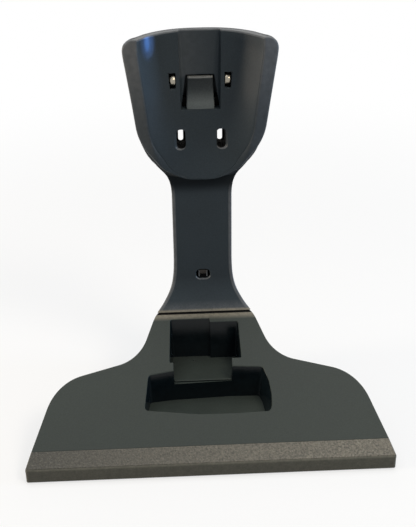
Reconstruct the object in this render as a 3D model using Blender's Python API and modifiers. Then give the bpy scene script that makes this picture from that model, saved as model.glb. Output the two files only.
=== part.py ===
import math

import bmesh
import bpy
from mathutils import Matrix, Vector

# Sizes are in millimetres. Inside the script y is counted from the base's front face towards the rear,
# x from the middle plane and z from the floor; frame_point moves a point to the part's own frame, in metres.
MM = 0.001

# Overall sizes
BASE_HALF_WIDTH = 131.3
DEPTH = 134.0
TOP_Z = 287.0
GAP = 0.3
SKIN = 2.4
ROUND_SIDES = 12
OUTSIDE = 30.0
PART_NAME = "charging_stand"

# Column, placed from the rear face forwards
REAR_Y = DEPTH
COLUMN_DEPTH = 15.0
NECK_FRONT_Y = REAR_Y - COLUMN_DEPTH
NECK_HALF_WIDTH = 22.0
FOOT_HALF_WIDTH = 36.9
FOOT_REAR_HALF = 25.5
FLARE_HEIGHT = 32.0
NECK_SWEEP = 12.0
NECK_SWEEP_HEIGHT = 26.0
NECK_EDGE = 1.2
PARTING_DEPTH = 7.0
EDGE_PARTING = 4.5
TOP_PARTING = 2.9
SEAM_Y = NECK_FRONT_Y - NECK_SWEEP

# Base, placed from the front face and the seam
FOOT_DROP = 0.6
FRONT_FACE_TOP = 10.5
STRIP_RUN = 11.8
STRIP_ANGLE = math.radians(33.0)
STRIP_THICKNESS = 1.8
STRIP_FRONT_WALL = 1.0
SLOPE_ANGLE = math.radians(29.0)
SEAM_EASE_FRONT = 6.0
SEAM_EASE_REAR = 2.0
SIDE_TAPER = 0.342
SHOULDER_SETBACK = 48.2
SHOULDER_ROUND = 35.0
WAIST_SETBACK = 33.1
WAIST_REACH = 13.5
WAIST_ROUND = 30.0
FLANK_ROUND = 30.0
CORNER_ROUND = 1.5
BASE_WALL = 2.6
PLATE_THICKNESS = 3.0
FOOT_RADIUS = 7.0
FOOT_INSET = 1.1
FOOT_SIDE = 30.0
FOOT_FRONT_Y = 36.0
FOOT_REAR_X = 15.0
FOOT_REAR_SETBACK = 16.0
STRIP_TOP_Z = FRONT_FACE_TOP + STRIP_RUN * math.tan(STRIP_ANGLE)
EASE_START_Y = SEAM_Y - SEAM_EASE_FRONT
EASE_RUN = SEAM_EASE_FRONT + SEAM_EASE_REAR
SEAM_Z = STRIP_TOP_Z + (EASE_START_Y + EASE_RUN / 2 - STRIP_RUN) * math.tan(SLOPE_ANGLE)
COLUMN_LOW_Z = SEAM_Z + GAP

# Pockets of the base: backs measured from the seam, floors from the slope at each pocket's front
LOWER_BACK_SETBACK = 41.0
LOWER_RUN = 33.0
LOWER_DROP = 7.5
UPPER_BACK_SETBACK = 7.0
UPPER_RUN = 30.0
UPPER_DROP = 14.65
UPPER_STEP_X = 4.0
POCKET_WALL = 2.6
LIP_BAR_HEIGHT = 1.2
LIP_BAR_WIDTH = 2.4
PIP_RADIUS = 1.2

# Cradle head, placed from the top downwards
HEAD_HALF_WIDTH = 52.1
HEAD_HEIGHT = 122.0
HEAD_LOW_Z = TOP_Z - HEAD_HEIGHT
BIB_HEIGHT = 107.0
BIB_Z = TOP_Z - BIB_HEIGHT
BIB_RISE = 13.0
CRADLE_STEP = 1.03
CRADLE_TOP_Y = NECK_FRONT_Y - CRADLE_STEP
CRADLE_LEAN = 0.0755
LIP_REACH = 24.0
LIP_SHARE = 0.195
LIP_THICKNESS = 9.5
LIP_TILT = 0.2
LIP_EDGE = 1.2
LIP_SHEET = 0.9
BACK_FLAT_HALF = NECK_HALF_WIDTH - 0.4
CORNER_DROP = 8.0
RIM_THICKNESS = 6.4
CREST_HEIGHT = 24.0
CREST_CORNER = 8.0
CREST_PULL = 0.35

# Channel, tongue and contacts
CHANNEL_FLOOR_Y = NECK_FRONT_Y
CHANNEL_HALF_WIDTH = 14.4
CHANNEL_LOW_HALF = 13.55
CHANNEL_HEIGHT = 55.0
CHANNEL_LOW_Z = TOP_Z - CHANNEL_HEIGHT
CHANNEL_SIDE_SLOPE = 0.03
CHANNEL_BACK = 2.2
CHANNEL_BACK_Y = CHANNEL_FLOOR_Y + CHANNEL_BACK
TONGUE_HEIGHT = 22.4
TONGUE_TOP_Z = CHANNEL_LOW_Z + TONGUE_HEIGHT
TONGUE_TOP_HALF = 8.8
TONGUE_LOW_HALF = 9.9
TONGUE_SLOT = 1.2
TONGUE_HOLE_LOW_HALF = CHANNEL_LOW_HALF - 0.1
CONTACT_X = 19.2
CONTACT_HALF_WIDTH = 1.9
CONTACT_RISE = 21.0
CONTACT_Z = CHANNEL_LOW_Z + CONTACT_RISE
CONTACT_WINDOW_HALF = CONTACT_HALF_WIDTH + 0.45
CONTACT_WINDOW_LOW = CONTACT_Z - 5.4
CONTACT_WINDOW_HIGH = CONTACT_Z + 5.6
LEAF_RELIEF = 3.0
LEAF_RELIEF_Y = CHANNEL_FLOOR_Y - LEAF_RELIEF
LEAF_THICKNESS = 0.5
CARRIER_RISE = 6.0
CARRIER_HEIGHT = 15.5
CARRIER_TOP_Z = CHANNEL_LOW_Z + CARRIER_RISE
CARRIER_LOW_Z = CARRIER_TOP_Z - CARRIER_HEIGHT
CARRIER_HALF_WIDTH = CONTACT_X + 3.3
CARRIER_THICKNESS = 4.0
CARRIER_SCREW_X = 8.0
CARRIER_SCREW_Z = CARRIER_LOW_Z + 3.5
CARRIER_Y = CHANNEL_BACK_Y + 1.7

# Wall-screw slots
SLOT_X = 14.2
SLOT_HALF_WIDTH = 3.2
SLOT_REAR_HALF = 1.8
SLOT_DROP = 14.0
SLOT_LENGTH = 14.2
SLOT_REAR_EXTRA = 2.0
SLOT_HIGH_Z = CHANNEL_LOW_Z - SLOT_DROP
SLOT_LOW_Z = SLOT_HIGH_Z - SLOT_LENGTH
SLOT_REAR_LOW_Z = SLOT_LOW_Z - SLOT_REAR_EXTRA
SLOT_TUBE = 1.7

# Release catch and its window
WINDOW_RISE = 28.25
WINDOW_Z = SEAM_Z + WINDOW_RISE
WINDOW_HALF_WIDTH = 5.3
WINDOW_HALF_HEIGHT = 4.2
WINDOW_EDGE = 2.2
CATCH_HALF_WIDTH = 6.0
CATCH_THICKNESS = 2.2
CATCH_NOSE_HALF = WINDOW_HALF_WIDTH - WINDOW_EDGE + GAP
CATCH_RIB = 0.8
SPIGOT_HALF_WIDTH = NECK_HALF_WIDTH - SKIN - 3.0
SPIGOT_HEIGHT = 18.0

# Screws
SCREW_HEAD_RADIUS = 2.6
SCREW_HEAD_HEIGHT = 1.8
SCREW_SHANK_RADIUS = 1.1
PILOT_RADIUS = 1.45
BOSS_RADIUS = 3.4
COVER_SCREW_HEAD_X = 20.0
COVER_SCREW_HEAD_DROP = 22.0
COVER_SCREW_BIB_RISE = 15.0
COVER_SCREW_NECK_X = 14.0
COVER_SCREW_NECK_DROP = 40.0
COVER_SCREWS = [(-COVER_SCREW_HEAD_X, TOP_Z - COVER_SCREW_HEAD_DROP),
                (COVER_SCREW_HEAD_X, TOP_Z - COVER_SCREW_HEAD_DROP),
                (0.0, BIB_Z + COVER_SCREW_BIB_RISE), (-COVER_SCREW_NECK_X, BIB_Z - COVER_SCREW_NECK_DROP),
                (COVER_SCREW_NECK_X, BIB_Z - COVER_SCREW_NECK_DROP)]
PLATE_SCREW_SIDE = 24.0
PLATE_SCREW_FRONT_Y = 20.0
PLATE_SCREW_WAIST_X = FOOT_HALF_WIDTH + 25.1
PLATE_SCREW_WAIST_SETBACK = 51.0
PLATE_SCREW_REAR_SETBACK = 19.0
PLATE_SCREWS = [(PLATE_SCREW_SIDE - BASE_HALF_WIDTH, PLATE_SCREW_FRONT_Y),
                (BASE_HALF_WIDTH - PLATE_SCREW_SIDE, PLATE_SCREW_FRONT_Y),
                (-PLATE_SCREW_WAIST_X, SEAM_Y - PLATE_SCREW_WAIST_SETBACK),
                (PLATE_SCREW_WAIST_X, SEAM_Y - PLATE_SCREW_WAIST_SETBACK), (0.0, PLATE_SCREW_FRONT_Y),
                (0.0, SEAM_Y - PLATE_SCREW_REAR_SETBACK)]
PLATE_BOSS_RADIUS = 4.2
PLATE_SCREW_LENGTH = 6.8
CARRIER_SCREW_LENGTH = 8.5

# Inlet and leads
JACK_RISE = 18.9
JACK_Z = WINDOW_Z + JACK_RISE
JACK_HALF_WIDTH = 5.0
JACK_HALF_HEIGHT = 6.0
JACK_NOSE_RADIUS = 4.0
JACK_BORE_RADIUS = 2.8
JACK_PIN_RADIUS = 1.0
LEAD_RADIUS = 0.8


# Scene set-up
for existing in list(bpy.data.objects):
    bpy.data.objects.remove(existing, do_unlink=True)

parts = bpy.data.collections.new(PART_NAME)
tools = bpy.data.collections.new("cutters")
bpy.context.scene.collection.children.link(parts)
bpy.context.scene.collection.children.link(tools)


# Mesh helpers: each shape function returns a maker that adds one body to a mesh being built
def frame_point(point):
    return Vector((point[0], point[1] - DEPTH / 2, point[2])) * MM


def link(name, mesh, collection):
    item = bpy.data.objects.new(name, mesh)
    collection.objects.link(item)
    if collection is tools:
        item.hide_render = True
        item.display_type = "WIRE"
    return item


def solids(name, makers, collection, origin=(0.0, 0.0, 0.0)):
    shape = bmesh.new()
    for make in makers:
        make(shape)
    bmesh.ops.translate(shape, verts=shape.verts[:], vec=-Vector(origin))
    bmesh.ops.scale(shape, verts=shape.verts[:], vec=(MM, MM, MM))
    bmesh.ops.recalc_face_normals(shape, faces=shape.faces[:])
    bmesh.ops.triangulate(shape, faces=shape.faces[:])
    mesh = bpy.data.meshes.new(name)
    shape.to_mesh(mesh)
    shape.free()
    item = link(name, mesh, collection)
    item.location = frame_point(origin)
    return item


def box_shape(x0, x1, y0, y1, z0, z1):
    middle = Vector(((x0 + x1) / 2, (y0 + y1) / 2, (z0 + z1) / 2))
    size = (x1 - x0, y1 - y0, z1 - z0, 1.0)

    def make(shape):
        bmesh.ops.create_cube(shape, size=1.0, matrix=Matrix.Translation(middle) @ Matrix.Diagonal(size))
    return make


def rod_shape(low, high, radius, sides=ROUND_SIDES):
    run = Vector(high) - Vector(low)
    turn = run.to_track_quat("Z", "Y").to_matrix().to_4x4()
    middle = (Vector(low) + Vector(high)) / 2

    def make(shape):
        bmesh.ops.create_cone(shape, cap_ends=True, segments=sides, radius1=radius, radius2=radius,
                              depth=run.length, matrix=Matrix.Translation(middle) @ turn)
    return make


def rod_y(x, z, radius, front, rear, sides=ROUND_SIDES):
    return rod_shape((x, front, z), (x, rear, z), radius, sides)


def rod_z(x, y, radius, low, high, sides=ROUND_SIDES):
    return rod_shape((x, y, low), (x, y, high), radius, sides)


def extruded(points, run):
    def make(shape):
        face = shape.faces.new([shape.verts.new(p) for p in points])
        grown = bmesh.ops.extrude_face_region(shape, geom=[face])
        moved = [item for item in grown["geom"] if isinstance(item, bmesh.types.BMVert)]
        bmesh.ops.translate(shape, verts=moved, vec=run)
    return make


def prism_z(outline, low, high):
    return extruded([(x, y, low) for x, y in outline], (0.0, 0.0, high - low))


def prism_y(outline, front, rear):
    return extruded([(x, front, z) for x, z in outline], (0.0, rear - front, 0.0))


def prism_x(outline, left, right):
    return extruded([(left, y, z) for y, z in outline], (right - left, 0.0, 0.0))


def loft_shape(rings):
    def make(shape):
        made = [[shape.verts.new(point) for point in ring] for ring in rings]
        shape.faces.new(made[0])
        shape.faces.new(made[-1])
        for low, high in zip(made, made[1:]):
            for i in range(len(low)):
                j = (i + 1) % len(low)
                shape.faces.new([low[i], low[j], high[j], high[i]])
    return make


def loft(name, rings, collection, origin=(0.0, 0.0, 0.0)):
    return solids(name, [loft_shape(rings)], collection, origin)


def turned(name, profile, steps, collection):
    mesh = bpy.data.meshes.new(name)
    edges = [(i, i + 1) for i in range(len(profile) - 1)]
    mesh.from_pydata([(radius * MM, 0.0, height * MM) for radius, height in profile], edges, [])
    item = link(name, mesh, collection)
    spin = item.modifiers.new("turn", "SCREW")
    spin.axis = "Z"
    spin.steps = steps
    spin.render_steps = steps
    spin.use_merge_vertices = True
    spin.merge_threshold = 0.000005
    return item


def wire(name, path, radius, collection):
    curve = bpy.data.curves.new(name, "CURVE")
    curve.dimensions = "3D"
    curve.bevel_depth = radius * MM
    curve.bevel_resolution = 1
    curve.use_fill_caps = True
    line = curve.splines.new("POLY")
    line.points.add(len(path) - 1)
    for place, point in zip(line.points, path):
        place.co = (*frame_point(point), 1.0)
    return link(name, curve, collection)


def rounded(points, radii, steps=4):
    outline = []
    count = len(points)
    for i, (point, radius) in enumerate(zip(points, radii)):
        here = Vector(point)
        if radius <= 0:
            outline.append(tuple(here))
            continue
        back = (Vector(points[i - 1]) - here).normalized()
        ahead = (Vector(points[(i + 1) % count]) - here).normalized()
        half = back.angle(ahead) / 2
        centre = here + (back + ahead).normalized() * radius / math.sin(half)
        start = here + back * radius / math.tan(half) - centre
        end = here + ahead * radius / math.tan(half) - centre
        first = math.atan2(start.y, start.x)
        sweep = (math.atan2(end.y, end.x) - first + math.pi) % (2 * math.pi) - math.pi
        for step in range(steps + 1):
            angle = first + sweep * step / steps
            outline.append((centre.x + radius * math.cos(angle), centre.y + radius * math.sin(angle)))
    return outline


def combine(item, other, operation, solver="EXACT"):
    change = item.modifiers.new(other.name, "BOOLEAN")
    change.operation = operation
    change.solver = solver
    change.object = other


def cut(item, *groups, name="cut"):
    combine(item, solids(item.name + "_" + name, list(groups), tools), "DIFFERENCE")


def add(item, *groups, name="add"):
    combine(item, solids(item.name + "_" + name, list(groups), tools), "UNION")


def finish(item, colour, roughness, metallic=0.0):
    material = bpy.data.materials.new(item.name)
    material.use_nodes = True
    shader = material.node_tree.nodes["Principled BSDF"]
    shader.inputs["Base Color"].default_value = (*colour, 1.0)
    shader.inputs["Roughness"].default_value = roughness
    shader.inputs["Metallic"].default_value = metallic
    item.data.materials.clear()
    item.data.materials.append(material)


# Smooth curve through hand-set stations
def smooth(stations, value):
    places = [s[0] for s in stations]
    heights = [s[1] for s in stations]
    if value <= places[0]:
        return heights[0]
    if value >= places[-1]:
        return heights[-1]
    steps = [(heights[i + 1] - heights[i]) / (places[i + 1] - places[i]) for i in range(len(places) - 1)]
    slopes = [steps[0]]
    for before, after in zip(steps, steps[1:]):
        slopes.append(0.0 if before * after <= 0 else 2 * before * after / (before + after))
    slopes.append(steps[-1])
    i = max(k for k in range(len(places) - 1) if places[k] <= value)
    width = places[i + 1] - places[i]
    t = (value - places[i]) / width
    return (heights[i] * (1 + 2 * t) * (1 - t) ** 2 + width * slopes[i] * t * (1 - t) ** 2
            + heights[i + 1] * t * t * (3 - 2 * t) + width * slopes[i + 1] * t * t * (t - 1))


def ease(value, low, high):
    t = max(0.0, min(1.0, (value - low) / (high - low)))
    return t * t * (3 - 2 * t)


# Column outline: share of the flare at the foot, of the head's width, of the bib's width, of the lips' reach
FOOT_SHARE = [(0.0, 1.0), (0.05, 0.945), (0.192, 0.74), (0.333, 0.55), (0.473, 0.365), (0.63, 0.21),
              (0.76, 0.125), (0.91, 0.06), (1.1, 0.02), (1.3, 0.0)]
HEAD_SHARE = [(0.0, 0.0), (0.034, 0.01), (0.073, 0.04), (0.112, 0.106), (0.151, 0.193), (0.185, 0.276),
              (0.225, 0.379), (0.265, 0.498), (0.306, 0.595), (0.348, 0.674), (0.389, 0.721), (0.429, 0.757),
              (0.508, 0.794), (0.622, 0.844), (0.834, 0.953), (0.902, 0.99), (0.935, 1.0), (0.961, 0.978),
              (0.98, 0.92), (0.992, 0.86), (1.0, 0.79)]
BIB_SHARE = [(0.0, 0.26), (0.046, 0.47), (0.185, 0.69), (0.354, 0.84), (0.56, 0.958), (0.77, 0.995),
             (1.0, 1.0)]
REACH_SHARE = [(0.0, 0.0), (0.057, 0.0), (0.123, 0.02), (0.205, 0.075), (0.279, 0.167), (0.385, 0.354),
               (0.508, 0.562), (0.664, 0.77), (0.877, 0.94), (1.0, 0.99)]


def head_place(z):
    return (z - HEAD_LOW_Z) / (TOP_Z - HEAD_LOW_Z)


def column_half(z):
    foot = smooth(FOOT_SHARE, (z - SEAM_Z) / FLARE_HEIGHT) * (FOOT_HALF_WIDTH - NECK_HALF_WIDTH)
    head = smooth(HEAD_SHARE, head_place(z)) * (HEAD_HALF_WIDTH - NECK_HALF_WIDTH)
    return NECK_HALF_WIDTH + foot + head


# The foot narrows towards the rear: half width at a depth y
def flank_half(z, y):
    foot = smooth(FOOT_SHARE, (z - SEAM_Z) / FLARE_HEIGHT) * (FOOT_HALF_WIDTH - FOOT_REAR_HALF)
    return column_half(z) - foot * (y - SEAM_Y) / (REAR_Y - SEAM_Y)


def lip_inner(z):
    return column_half(min(z, TOP_Z - CORNER_DROP)) * (1 - LIP_SHARE)


def bib_half(z):
    return column_half(z) * smooth(BIB_SHARE, (z - BIB_Z) / BIB_RISE)


def cradle_y(z):
    return CRADLE_TOP_Y - (TOP_Z - z) * CRADLE_LEAN


def lip_reach(z):
    return LIP_REACH * smooth(REACH_SHARE, head_place(z))


# The cradle curves forwards to its lips, whose faces turn slightly outwards
def head_front(x, z):
    inner = lip_inner(z)
    share = min(1.0, abs(x) / inner)
    return cradle_y(z) - lip_reach(z) * share ** 2.6 + LIP_TILT * max(0.0, abs(x) - inner)


def neck_front(z):
    below = max(0.0, 1 - (z - SEAM_Z) / NECK_SWEEP_HEIGHT)
    return NECK_FRONT_Y - NECK_SWEEP * below ** 2


def front_stretch(x, z):
    step = 0.2
    slope = (head_front(abs(x) + step, z) - head_front(abs(x) - step, z)) / (2 * step)
    return math.sqrt(1 + slope * slope)


# How far a rounded corner draws back at a distance from its end
def draw_back(distance, radius):
    inside = max(0.0, radius - distance)
    return radius - math.sqrt(max(0.0, radius * radius - inside * inside))


# The rear bends forwards to a thin rim over the last part of the height
def crest_share(z):
    return max(0.0, (z - TOP_Z + CREST_HEIGHT) / CREST_HEIGHT) ** 2.2


def edge_share(x, z):
    half = column_half(z)
    return min(1.0, max(0.0, abs(x) - BACK_FLAT_HALF) / max(half - BACK_FLAT_HALF, 1.0))


def edge_curl(z):
    return ease(z, BIB_Z + 6, BIB_Z + 46)


def rear_surface(x, z):
    edge = REAR_Y + (cradle_y(z) - lip_reach(z) + LIP_THICKNESS - REAR_Y) * edge_curl(z)
    full = REAR_Y - (REAR_Y - edge) * edge_share(x, z) ** 1.7
    inner = lip_inner(z)
    steepest = front_stretch(min(abs(x), inner - 0.4), z)
    stretch = 1 + (steepest - 1) * (1 - ease(abs(x), 0.9 * inner, 1.2 * inner))
    corner = CREST_PULL * draw_back(column_half(z) - abs(x), CREST_CORNER)
    rim = head_front(x, z) + RIM_THICKNESS * stretch - corner
    return full - (full - rim) * crest_share(z)


def parting(x, z):
    depth = PARTING_DEPTH + (TOP_PARTING - PARTING_DEPTH) * crest_share(z)
    edge = max(0.0, depth - EDGE_PARTING)
    behind = rear_surface(x, z) - depth + edge * edge_share(x, z) * edge_curl(z)
    return max(behind, head_front(x, z) + LIP_EDGE + LIP_SHEET)


# Ring of one level of the head: front from left to right, then the back from right to left
FRONT_SHARES = [0.18, 0.36, 0.52, 0.66, 0.78, 0.88, 0.95, 1.0]
BACK_SHARES = [1.0, 0.84, 0.68, 0.54, 0.42, 0.25]


def mirrored(values):
    return [-v for v in reversed(values)] + list(values)


def head_ring(z, half, back_y):
    inner = lip_inner(z)
    lip = [half - LIP_EDGE, half]
    if half <= inner + LIP_EDGE:
        front = [s * half * 0.97 for s in FRONT_SHARES] + [half * 0.985, half]
        rise = [0.0] * len(FRONT_SHARES) + [0.3 * LIP_EDGE, LIP_EDGE]
    else:
        front = [s * inner for s in FRONT_SHARES] + lip
        rise = [0.0] * (len(FRONT_SHARES) + 1) + [LIP_EDGE]
    ring = []
    for x, lift in zip(reversed(front), reversed(rise)):
        ring.append((-x, head_front(x, z) + lift, z))
    ring.append((0.0, head_front(0.0, z), z))
    for x, lift in zip(front, rise):
        ring.append((x, head_front(x, z) + lift, z))
    for share in BACK_SHARES:
        ring.append((share * half, back_y(share * half, z), z))
    for share in reversed(BACK_SHARES):
        ring.append((-share * half, back_y(share * half, z), z))
    return ring


def levels(low, high, count, extra=()):
    return sorted(set([low + (high - low) * i / count for i in range(count + 1)] + list(extra)))


def head_back(x, z):
    return parting(x, z) - 1.5 * (1 - ease(z, BIB_Z + 8, BIB_Z + 10))


HEAD_STEPS = [0.0, 0.6, 2.4, 4.6, 7.3, 10.0, 13.0, 17.0, 22.0, 28.0, 36.0, 48.0, 62.0, 78.0, 84.0, 90.0, 95.0,
              99.0, 102.0, 104.5, 106.0, 107.0]
HEAD_LEVELS = [BIB_Z + step * BIB_HEIGHT / HEAD_STEPS[-1] for step in HEAD_STEPS]
front_shell = loft("front_shell", [head_ring(z, bib_half(z), head_back) for z in HEAD_LEVELS], parts)


# Neck of the front shell
NECK_TOP_Z = BIB_Z + 16.0
NECK_LEVELS = [COLUMN_LOW_Z] + [SEAM_Z + s for s in (2.0, 5.0, 9.0, 14.0, 20.0, 26.0, 34.0)]
NECK_LEVELS += [BIB_Z + s for s in (-14.0, -4.0, 1.0, 5.0, 8.0, 10.0)] + [NECK_TOP_Z]


def neck_half(z):
    if z < HEAD_LOW_Z:
        return column_half(z)
    return min(column_half(z), column_half(BIB_Z + 8.4))


def neck_back(z):
    return REAR_Y - PARTING_DEPTH - 2.0 * ease(z, BIB_Z + 8, BIB_Z + 10)


def neck_ring(z, inset, front, back, edge):
    level = max(z, COLUMN_LOW_Z)
    half = min(neck_half(level), flank_half(level, front)) - inset
    rear = min(neck_half(level), flank_half(level, back)) - inset
    return [(-half, front + edge, z), (-half + edge, front, z), (0.0, front, z), (half - edge, front, z),
            (half, front + edge, z), (rear, back, z), (0.0, back, z), (-rear, back, z)]


neck_rings = [neck_ring(z, 0.0, neck_front(z), neck_back(z), NECK_EDGE) for z in NECK_LEVELS]
add(front_shell, loft_shape(neck_rings), name="neck")


# Hollow of the front shell, kept clear of bosses, slot tubes, jack ribs
def skin_offset(x, z):
    return SKIN * front_stretch(x, z)


CHANNEL_SHELF_HALF = CHANNEL_HALF_WIDTH + SKIN


def cavity_ring(z, half, behind_channel):
    inner = lip_inner(z)
    front = []
    if behind_channel:
        front = [(CHANNEL_SHELF_HALF * 0.5, CHANNEL_BACK_Y), (CHANNEL_SHELF_HALF, CHANNEL_BACK_Y)]
        run = inner * 0.96 - CHANNEL_SHELF_HALF
        xs = [CHANNEL_SHELF_HALF + run * s for s in (0.0, 0.3, 0.55, 0.8, 1.0)]
    else:
        xs = [half * s for s in (0.25, 0.45, 0.6, 0.7, 0.78)] + [half * 0.84]
    front += [(x, head_front(x, z) + skin_offset(x, z)) for x in xs]
    front.append((half, max(head_front(half, z) + SKIN, front[-1][1] - 0.5 * SKIN)))
    centre = CHANNEL_BACK_Y if behind_channel else cradle_y(z) + SKIN
    ring = [(-x, y, z) for x, y in reversed(front)] + [(0.0, centre, z)] + [(x, y, z) for x, y in front]
    for share in BACK_SHARES:
        ring.append((share * half, parting(share * half, z) + 2.0, z))
    for share in reversed(BACK_SHARES):
        ring.append((-share * half, parting(share * half, z) + 2.0, z))
    return ring


CAVITY_LOW_Z = BIB_Z + 4.0
CAVITY_STEPS = [0.0, 3.0, 6.0, 10.0, 15.0, 21.0, 29.0, 38.0, 46.0]
CAVITY_RUN = CHANNEL_LOW_Z - 2.0 - CAVITY_LOW_Z
LOWER_CAVITY = [CAVITY_LOW_Z + step * CAVITY_RUN / CAVITY_STEPS[-1] for step in CAVITY_STEPS]
UPPER_CAVITY = [CHANNEL_LOW_Z - 2.4, CHANNEL_LOW_Z + 12, CHANNEL_LOW_Z + 28, CHANNEL_LOW_Z + 42, TOP_Z - 9.0,
                TOP_Z - 5.5, TOP_Z - 2.8]
hollow = loft("front_hollow", [cavity_ring(z, bib_half(z) - SKIN - 0.2, False) for z in LOWER_CAVITY], tools)
upper_rings = [cavity_ring(z, bib_half(z) - SKIN - 0.2, True) for z in UPPER_CAVITY]
add(hollow, loft_shape(upper_rings), name="upper")
leaf_reliefs = []
for side in (-1, 1):
    middle = side * CONTACT_X
    leaf_reliefs.append(box_shape(middle - CONTACT_WINDOW_HALF, middle + CONTACT_WINDOW_HALF, LEAF_RELIEF_Y,
                                  CHANNEL_BACK_Y + 1.0, CHANNEL_LOW_Z - 3.6, CONTACT_WINDOW_HIGH))
add(hollow, *leaf_reliefs, name="leaf_reliefs")
neck_hollow_rings = []
for z in [COLUMN_LOW_Z - 1.0] + NECK_LEVELS[1:-3] + [BIB_Z + 7.5]:
    level = max(z, COLUMN_LOW_Z)
    back = REAR_Y - PARTING_DEPTH + 3.0
    neck_hollow_rings.append(neck_ring(z, SKIN, neck_front(level) + SKIN, back, 0.6))
neck_hollow = loft("neck_hollow", neck_hollow_rings, tools)


def slot_outline(x, half, low, high, edge):
    left = x - half
    right = x + half
    return [(left, low + edge), (left + edge, low), (right - edge, low), (right, low + edge),
            (right, high - edge), (right - edge, high), (left + edge, high), (left, high - edge)]


slot_tubes = []
for side in (-1, 1):
    outline = slot_outline(side * SLOT_X, SLOT_HALF_WIDTH + SLOT_TUBE, SLOT_REAR_LOW_Z - SLOT_TUBE,
                           SLOT_HIGH_Z + SLOT_TUBE, 1.5)
    slot_tubes.append(prism_y(outline, NECK_FRONT_Y - OUTSIDE, REAR_Y))
cover_bosses = [rod_y(x, z, BOSS_RADIUS, NECK_FRONT_Y - OUTSIDE, REAR_Y) for x, z in COVER_SCREWS]
carrier_bosses = []
for side in (-1, 1):
    carrier_bosses.append(rod_y(side * CARRIER_SCREW_X, CARRIER_SCREW_Z, BOSS_RADIUS - 0.4,
                                NECK_FRONT_Y - OUTSIDE, CARRIER_Y - GAP))
jack_ribs = []
for side in (-1, 1):
    inside = side * (JACK_HALF_WIDTH + 0.4)
    outside = side * (JACK_HALF_WIDTH + 2.0)
    jack_ribs.append(box_shape(min(inside, outside), max(inside, outside), NECK_FRONT_Y,
                               NECK_FRONT_Y + SKIN + 4.0, JACK_Z - JACK_HALF_HEIGHT,
                               JACK_Z + JACK_HALF_HEIGHT))
cut(hollow, *slot_tubes, name="tubes")
cut(hollow, *cover_bosses, name="bosses")
cut(hollow, *carrier_bosses, name="carrier_bosses")
combine(front_shell, hollow, "DIFFERENCE")
cut(neck_hollow, *cover_bosses, name="bosses")
cut(neck_hollow, *jack_ribs, name="ribs")
combine(front_shell, neck_hollow, "DIFFERENCE")

# Openings of the front shell
CHANNEL_OPEN_Z = TOP_Z + 5.0


def channel_half(z):
    share = (z - CHANNEL_LOW_Z) / (TOP_Z - CHANNEL_LOW_Z)
    return CHANNEL_LOW_HALF + (CHANNEL_HALF_WIDTH - CHANNEL_LOW_HALF) * share


channel_rings = []
for z in (CHANNEL_LOW_Z, CHANNEL_OPEN_Z):
    ring = []
    for depth, side in ((0.0, -1), (0.0, 1), (OUTSIDE, 1), (OUTSIDE, -1)):
        ring.append((side * (channel_half(z) + CHANNEL_SIDE_SLOPE * depth), CHANNEL_FLOOR_Y - depth, z))
    channel_rings.append(ring)
cut(front_shell, loft_shape(channel_rings), name="channel")
tongue_hole = [(-TONGUE_HOLE_LOW_HALF, CHANNEL_LOW_Z), (TONGUE_HOLE_LOW_HALF, CHANNEL_LOW_Z),
               (TONGUE_TOP_HALF + TONGUE_SLOT, TONGUE_TOP_Z + TONGUE_SLOT),
               (-TONGUE_TOP_HALF - TONGUE_SLOT, TONGUE_TOP_Z + TONGUE_SLOT)]
cut(front_shell, prism_y(tongue_hole, CHANNEL_FLOOR_Y - 3.0, CHANNEL_BACK_Y + 1.0), name="tongue_hole")
contact_windows = []
wall_slots = []
for side in (-1, 1):
    outline = slot_outline(side * CONTACT_X, CONTACT_WINDOW_HALF, CONTACT_WINDOW_LOW, CONTACT_WINDOW_HIGH,
                           0.5)
    contact_windows.append(prism_y(outline, NECK_FRONT_Y - OUTSIDE, CHANNEL_BACK_Y + 1.0))
    outline = slot_outline(side * SLOT_X, SLOT_HALF_WIDTH, SLOT_LOW_Z, SLOT_HIGH_Z, 1.2)
    low = slot_outline(side * SLOT_X, SLOT_HALF_WIDTH, SLOT_REAR_LOW_Z, SLOT_HIGH_Z, 1.2)
    wall_slots.append(loft_shape([[(x, NECK_FRONT_Y - OUTSIDE, z) for x, z in outline],
                                  [(x, NECK_FRONT_Y - 6.0, z) for x, z in outline],
                                  [(x, REAR_Y, z) for x, z in low]]))
pilots = [rod_y(x, z, PILOT_RADIUS, NECK_FRONT_Y + 1.2, REAR_Y, 8) for x, z in COVER_SCREWS]
for side in (-1, 1):
    pilots.append(rod_y(side * CARRIER_SCREW_X, CARRIER_SCREW_Z, PILOT_RADIUS, CARRIER_Y - 6.0, REAR_Y, 8))
window = slot_outline(0.0, WINDOW_HALF_WIDTH, WINDOW_Z - WINDOW_HALF_HEIGHT, WINDOW_Z + WINDOW_HALF_HEIGHT,
                      WINDOW_EDGE)
catch_window = prism_y(window, NECK_FRONT_Y - OUTSIDE, NECK_FRONT_Y + SKIN + 1.0)
cut(front_shell, *contact_windows, *wall_slots, *pilots, catch_window, name="openings")
finish(front_shell, (0.045, 0.052, 0.060), 0.45)


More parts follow.
